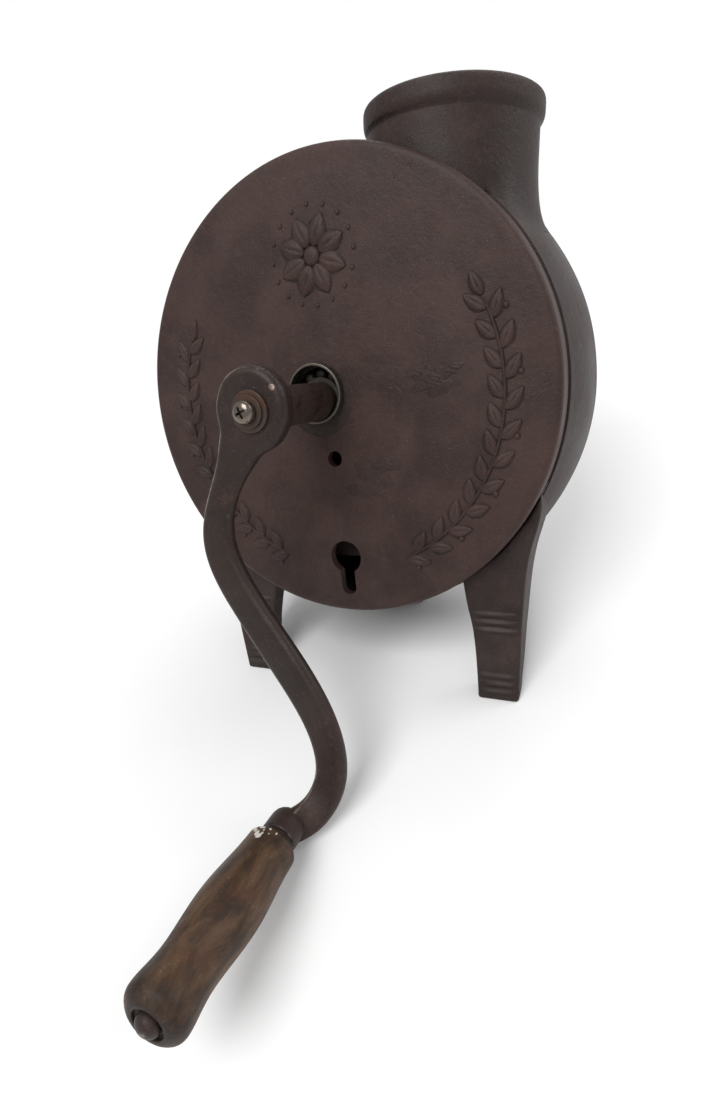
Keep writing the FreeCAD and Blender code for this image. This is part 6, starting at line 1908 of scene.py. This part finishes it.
@dataclass
class HubScrew:
    """The cross-recess pan head screw in the middle of the hub.

    Attributes:
        head_radius, head_height, seat: The head, and the depth that it sits on.
        shank_radius, shank_end: The shank, which the hub hides.
        recess_length, recess_width, recess_depth: The cross.
        turn: How the cross stands, in radians.
        washers: The node, radius and back face of each washer.
        washer_thickness: Their thickness.
    """

    head_radius: float = 5.0
    head_height: float = 4.8
    seat: float = -64.0
    shank_radius: float = 2.4
    shank_end: float = -52.0
    recess_length: float = 5.6
    recess_width: float = 1.15
    recess_depth: float = 2.4
    turn: float = math.radians(20.0)
    washers: tuple = (("large_hub_washer", 9.3, -61.0), ("small_hub_washer", 7.3, -62.5))
    washer_thickness: float = 1.5

    def head(self) -> Surface:
        """Turn the head: a shallow dome with rounded shoulders over a straight edge."""
        top = self.seat - self.head_height
        angle = np.linspace(0.03, math.pi / 2, 16)
        shoulder = np.stack([self.head_radius * np.sin(angle) ** 0.82,
                             top + 2.6 * (1.0 - np.cos(angle) ** 0.9)], axis=1)
        foot = np.array([[self.head_radius, self.seat - 0.3], [self.head_radius - 0.3, self.seat],
                         [self.shank_radius, self.seat], [self.shank_radius, self.shank_end],
                         [0.2, self.shank_end]])
        profile = np.vstack([shoulder, foot])
        wear = 0.8 * smooth_step(-profile[:, 1], -self.seat + 1.2, -top)
        return turned(profile, SHAFT, 72, marks={"wear": wear})

    def cross(self) -> Surface:
        """Return the recess as a plug: a cross with rounded inner corners that narrows as it goes in."""
        long, half = self.recess_length / 2.0, self.recess_width / 2.0
        arm = np.array([[half, half], [long, half], [long, -half]])
        top = self.seat - self.head_height
        rows = []
        for depth, scale in ((top - 1.0, 1.12), (top + self.recess_depth, 0.62)):
            corners = []
            for quarter in range(4):
                angle = -quarter * math.pi / 2 + self.turn
                rotate = np.array([[math.cos(angle), math.sin(angle)], [-math.sin(angle), math.cos(angle)]])
                corners.append((arm * scale) @ rotate)
            x, z = np.vstack(corners).T
            rows.append(np.stack([x - SHAFT_OFFSET, np.full_like(x, depth), z], axis=1))
        return Surface.from_grid(np.stack(rows))

    def washer(self, radius: float, back: float) -> Surface:
        """Turn a washer with rounded edges, whose upper part is stained with rust."""
        front, bore = back - self.washer_thickness, self.shank_radius + 0.3
        stain = smooth_step(-np.sin(columns_round(72) - 0.5), -0.1, 0.7)[None, :]
        return ring([[bore, front], [radius, front], [radius, back], [bore, back]], [0.2, 0.5, 0.2, 0.1], 4, SHAFT,
                    72, (radius, front, 0.4, 0.4), rust=stain)

    def build(self, finishes: Finishes) -> None:
        """Make the screw and the washers."""
        for node, radius, back in self.washers:
            ring = self.washer(radius, back).to_object(f"{node}_ring")
            finishes.dress(ring, "fastener_steel")
            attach(ring, "crankshaft")
            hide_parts(node)
        screw = self.head().to_object("hub_screw_head")
        carve(screw, [self.cross()], "cross_plug")
        finishes.dress(screw, "screw_steel")
        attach(screw, "crankshaft")
        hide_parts("hub_screw")
        log.info("hub screw: 3 pieces")


# The grip

@dataclass
class Grip:
    """The turned wooden grip on its riveted spindle.

    Attributes:
        near: Where the wood starts, beside the arm's boss.
        length: Its length.
        neck, neck_radius: The neck between the boss and the wood's body, painted dark as the shade of the gap.
        profile: Its radii along the length, as pairs of place and radius.
        bore: The radius of the hole through it.
        recess_radius, recess_depth: The sinking at the free end.
        head_radius, head_height, spindle_radius: The spindle and its riveted head.
        boss_face: Where the arm's boss ends.
        paint_drops, stains: Spots, as place, heading and reach along and round the grip.
    """

    near: float = -93.1
    length: float = 87.1
    neck: float = 3.0
    neck_radius: float = 9.6
    profile: tuple = ((3.0, 12.1), (14.0, 12.6), (24.0, 13.5), (36.5, 14.3), (48.0, 13.9), (58.0, 13.0),
                      (66.0, 12.6), (74.0, 13.2), (81.0, 13.8), (85.2, 12.0), (87.1, 9.3))
    bore: float = 4.2
    recess_radius: float = 7.0
    recess_depth: float = 1.6
    head_radius: float = 5.2
    head_height: float = 4.7
    spindle_radius: float = 3.9
    boss_face: float = -92.0
    paint_drops: tuple = ((4.6, 4.2, 1.4, 0.12), (6.4, 4.35, 1.0, 0.06), (4.2, 4.55, 0.9, 0.14),
                          (8.2, 4.5, 1.8, 0.09), (5.8, 4.7, 0.7, 0.05), (4.4, 4.9, 0.8, 0.06),
                          (9.8, 4.65, 1.5, 0.11), (6.9, 4.95, 0.7, 0.04), (5.0, 5.2, 0.7, 0.05),
                          (7.6, 4.72, 1.0, 0.05))
    stains: tuple = ((76.0, 3.9, 12.0, 0.7), (60.0, 6.25, 24.0, 0.14), (30.0, 4.4, 14.0, 0.3), (40.0, 4.9, 9.0, 0.2))

    def wood(self) -> Surface:
        """Turn the wood, with the fine rings that turning leaves and dents from years of use.

        The radius is the spline through the profile times 1 + a few shallow waves of the angle and place.
        """
        table = np.array(self.profile)
        at = np.linspace(self.neck, self.length, 110)
        radius = spline(table[:, 0], table[:, 1], at)[:, 0]
        outside = np.stack([radius, self.near - at], axis=1)
        free, body = self.near - self.length, self.near - self.neck
        floor = free + self.recess_depth
        tail = [[table[-1, 1] - 0.5, free], [self.recess_radius, free], [self.recess_radius, floor],
                [self.bore, floor], [self.bore, self.near], [self.neck_radius, self.near],
                [self.neck_radius, body], [table[0, 1] - 0.6, body]]
        tail = spaced(rounded(tail, [0, 0.5, 0.5, 0.3, 0.3, 0.4, 0.2, 0], 4), 4.0)
        profile = np.vstack([outside[1:-1], tail])
        angle = columns_round(128)[None, :]
        place = (self.near - profile[:, 1])[:, None]
        is_out = np.concatenate([np.ones(len(outside) - 2), np.zeros(len(tail))])[:, None]
        worn = (0.006 * np.sin(2 * angle + 0.8) * np.sin(place / 13.0 + 0.4)
                + 0.004 * np.sin(3 * angle + place / 21.0))
        rings = 0.0022 * np.sin(place * 2.1) * bump(place, 6.0, 9.0)
        shape = profile[:, 0:1] * (1.0 - is_out * (np.abs(worn) + np.abs(rings)))
        grid = grip_axis(self.boss_face).at(shape, profile[:, 1:2], angle)

        def away(spot: float, heading: float, reach: float, spread: float) -> Array:
            round_it = np.arctan2(np.sin(angle - heading), np.cos(angle - heading))
            return np.hypot((place - spot) / reach, round_it / spread)

        wear = np.zeros(shape.shape)
        for drop in self.paint_drops:
            wear = np.maximum(wear, 0.85 * (1.0 - smooth_step(away(*drop), 0.6, 1.5)) * is_out)
        # Painted shade darkens the neck and the wood's inside; the stains and the band at the free end are soiling.
        dirt_and_shade = np.maximum(bump(place, self.neck, 1.5) * 0.5, 0.9 * smooth_step(place, 77.0, 83.0) * is_out)
        dirt_and_shade = np.maximum(dirt_and_shade, (1.0 - is_out) * 1.5)
        for stain in self.stains:
            dirt_and_shade = np.maximum(dirt_and_shade, bump(away(*stain), 0.0, 0.8))
        return Surface.from_grid(grid, loop=True, marks={"wear": wear, "rust": dirt_and_shade})

    def spindle(self) -> Surface:
        """Turn the spindle with its domed head, whose radius follows a quarter of an ellipse."""
        floor = self.near - self.length + self.recess_depth - 0.1
        top = floor - self.head_height
        angle = np.linspace(0.03, math.pi / 2, 16)
        dome_part = np.stack([self.head_radius * np.sin(angle),
                              top + (self.head_height - 0.9) * (1.0 - np.cos(angle))], axis=1)
        rest = np.array([[self.head_radius, floor - 0.2], [self.head_radius - 0.3, floor],
                         [self.spindle_radius, floor], [self.spindle_radius, self.near + 13.0],
                         [0.2, self.near + 13.0]])
        profile = np.vstack([dome_part, rest])
        wear = 0.75 * bump(profile[:, 0], 0.0, 2.2) * (profile[:, 1] < floor)
        return turned(profile, grip_axis(self.boss_face), 64, marks={"wear": wear, "rust": 0.0})

    def build(self, finishes: Finishes) -> None:
        """Make the wood and its spindle."""
        wood = self.wood().to_object("grip_turning", 50.0)
        finishes.dress(wood, "grip_wood")
        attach(wood, "hand_grip")
        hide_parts("wooden_grip")
        pin = self.spindle().to_object("grip_spindle_dome")
        finishes.dress(pin, "arm_iron")
        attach(pin, "crankshaft")
        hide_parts("grip_spindle")
        log.info("grip: 2 pieces")


# The view

@dataclass(frozen=True)
class Lamp:
    """A soft square lamp: its name, its place and its side in metres, and its power in watts."""

    name: str
    place: tuple
    size: float
    power: float


@dataclass
class Studio:
    """The pale floor, the soft light and the camera.

    Attributes:
        eye: The camera's place in the machine's frame, in millimetres.
        right, down, ahead: The camera's directions in the machine's frame.
        focal_pixels: The focal length in pixels of the photograph's frame.
        frame_pixels: The frame's long side in pixels.
        sensor: The width of the camera's sensor, in millimetres.
        sky: The strength of the light from all round.
        lamps: The lamps, which look at the machine's middle.
        aim: That middle, in metres.
    """

    eye: tuple = (156.92, -285.05, 7.05)
    right: tuple = (0.8914, 0.4411, -0.1045)
    down: tuple = (0.0249, -0.2778, -0.9603)
    ahead: tuple = (-0.4526, 0.8534, -0.2586)
    focal_pixels: float = 620.0
    frame_pixels: float = 1100.0
    sensor: float = 36.0
    sky: float = 0.56
    lamps: tuple = (Lamp("Key", (-0.05, -0.85, 1.7), 1.0, 21.0), Lamp("Side", (1.5, 1.0, 1.0), 0.9, 11.0),
                    Lamp("Back", (0.0, 1.4, 1.3), 1.0, 9.0))
    aim: tuple = (0.0, 0.0, 0.13)

    def turn(self, direction: Sequence[float]) -> Array:
        """Carry a direction from the machine's frame to the model's."""
        x, y, z = direction
        return x * ACROSS + y * STANCE.depth + z * STANCE.rise

    def camera(self) -> None:
        """Place the camera."""
        data = bpy.data.cameras.new("Camera")
        data.sensor_fit = "AUTO"
        data.sensor_width = self.sensor
        data.lens = self.sensor * self.focal_pixels / self.frame_pixels
        data.clip_start, data.clip_end = 0.01, 30.0
        camera = put_in_scene("Camera", data)
        wanted = np.stack([self.turn(self.right), -self.turn(self.down), -self.turn(self.ahead)], axis=1)
        axes, _ = np.linalg.qr(wanted)
        axes *= np.sign(np.einsum("ij,ij->j", axes, wanted))
        matrix = np.eye(4)
        matrix[:3, :3] = axes
        matrix[:3, 3] = STANCE.to_row(np.array(self.eye))
        camera.matrix_world = Matrix(matrix.tolist())
        bpy.context.scene.camera = camera

    def floor_material(self) -> bpy.types.Material:
        """Make the pale table top, which the camera sees turn to plain white further away."""
        made, nodes = new_material("Pale table")
        place = nodes.place()
        mottle = nodes.remap(nodes.noise(place, 3.0, 4.0, 0.5), 0.3, 0.7)
        pale = nodes.mix(mottle, colour(238, 238, 238), colour(244, 244, 244))
        shader = nodes.add("ShaderNodeBsdfPrincipled", Base_Color=pale, Roughness=0.8)
        glow = nodes.add("ShaderNodeEmission", Color=(1.0, 1.0, 1.0, 1.0), Strength=1.0)
        far = nodes.add("ShaderNodeVectorMath", operation="LENGTH")
        nodes.feed(far.inputs[0], place)
        ways = nodes.add("ShaderNodeLightPath").outputs
        seen = nodes.math("MAXIMUM", ways["Is Camera Ray"], ways["Is Glossy Ray"])
        seen = nodes.math("MAXIMUM", seen, ways["Is Transmission Ray"])
        share = nodes.times(nodes.remap(far.outputs["Value"], 0.25, 0.75), seen)
        blend = nodes.add("ShaderNodeMixShader")
        for number, given in enumerate((share, shader.outputs["BSDF"], glow.outputs["Emission"])):
            nodes.feed(blend.inputs[number], given)
        nodes.add("ShaderNodeOutputMaterial", Surface=blend.outputs["Shader"])
        return made

    def floor(self) -> None:
        """Lay the floor under the feet."""
        angle = columns_round(96)[None, :]
        reach = np.array([0.002, 0.3, 0.8, 2.0, 6.0])[:, None]
        across, deep = reach * np.cos(angle), reach * np.sin(angle)
        top = np.stack([across, deep, np.full_like(across, -0.0002)], axis=-1)
        under = top[::-1] + np.array([0.0, 0.0, -0.02])
        made = Surface.from_grid(np.concatenate([top, under]))
        mesh = bpy.data.meshes.new("table_top")
        mesh.from_pydata(made.points.tolist(), [], made.faces)
        mesh.materials.append(self.floor_material())
        thing = put_in_scene("table_top", mesh)

    def world(self) -> None:
        """Light the scene from all round, and show white behind it."""
        world = bpy.data.worlds.new("Studio")
        bpy.context.scene.world = world
        world.use_nodes = True
        world.node_tree.nodes.clear()
        nodes = Nodes(world.node_tree)
        ways = nodes.add("ShaderNodeLightPath").outputs
        seen = nodes.math("MAXIMUM", ways["Is Camera Ray"], ways["Is Transmission Ray"])
        strength = nodes.remap(seen, 0.0, 1.0, self.sky, 1.0, "LINEAR")
        back = nodes.add("ShaderNodeBackground", Color=(1.0, 1.0, 1.0, 1.0), Strength=strength)
        nodes.add("ShaderNodeOutputWorld", Surface=back.outputs["Background"])

    def hang(self, lamp: Lamp) -> None:
        """Hang one lamp and turn it to the machine."""
        data = bpy.data.lights.new(lamp.name, "AREA")
        data.shape = "SQUARE"
        data.size = lamp.size
        data.energy = lamp.power
        thing = put_in_scene(lamp.name, data)
        thing.location = lamp.place
        way = Vector(self.aim) - Vector(lamp.place)
        thing.rotation_euler = way.to_track_quat("-Z", "Y").to_euler()

    def build(self) -> None:
        """Set the stage."""
        self.camera()
        self.floor()
        self.world()
        for lamp in self.lamps:
            self.hang(lamp)
        bpy.context.scene.view_settings.view_transform = "Standard"
        log.info("studio: floor, world, three lamps and camera")


def main() -> None:
    """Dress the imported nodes, build each sub-assembly over them and set the stage."""
    logging.basicConfig(level=logging.INFO, format="%(message)s")
    finishes = Finishes()
    finishes.dress_nodes(frame["nodes"], frame["record"]["subparts"])
    log.info("nodes: %d dressed", len(frame["nodes"]))
    CoverCasting().build(finishes)
    FrontBearing().build(finishes)
    CasingCasting().build(finishes)
    PlateSpring().build(finishes)
    Crank().build(finishes)
    HubScrew().build(finishes)
    Grip().build(finishes)
    Studio().build()


if __name__ == "__main__":
    main()
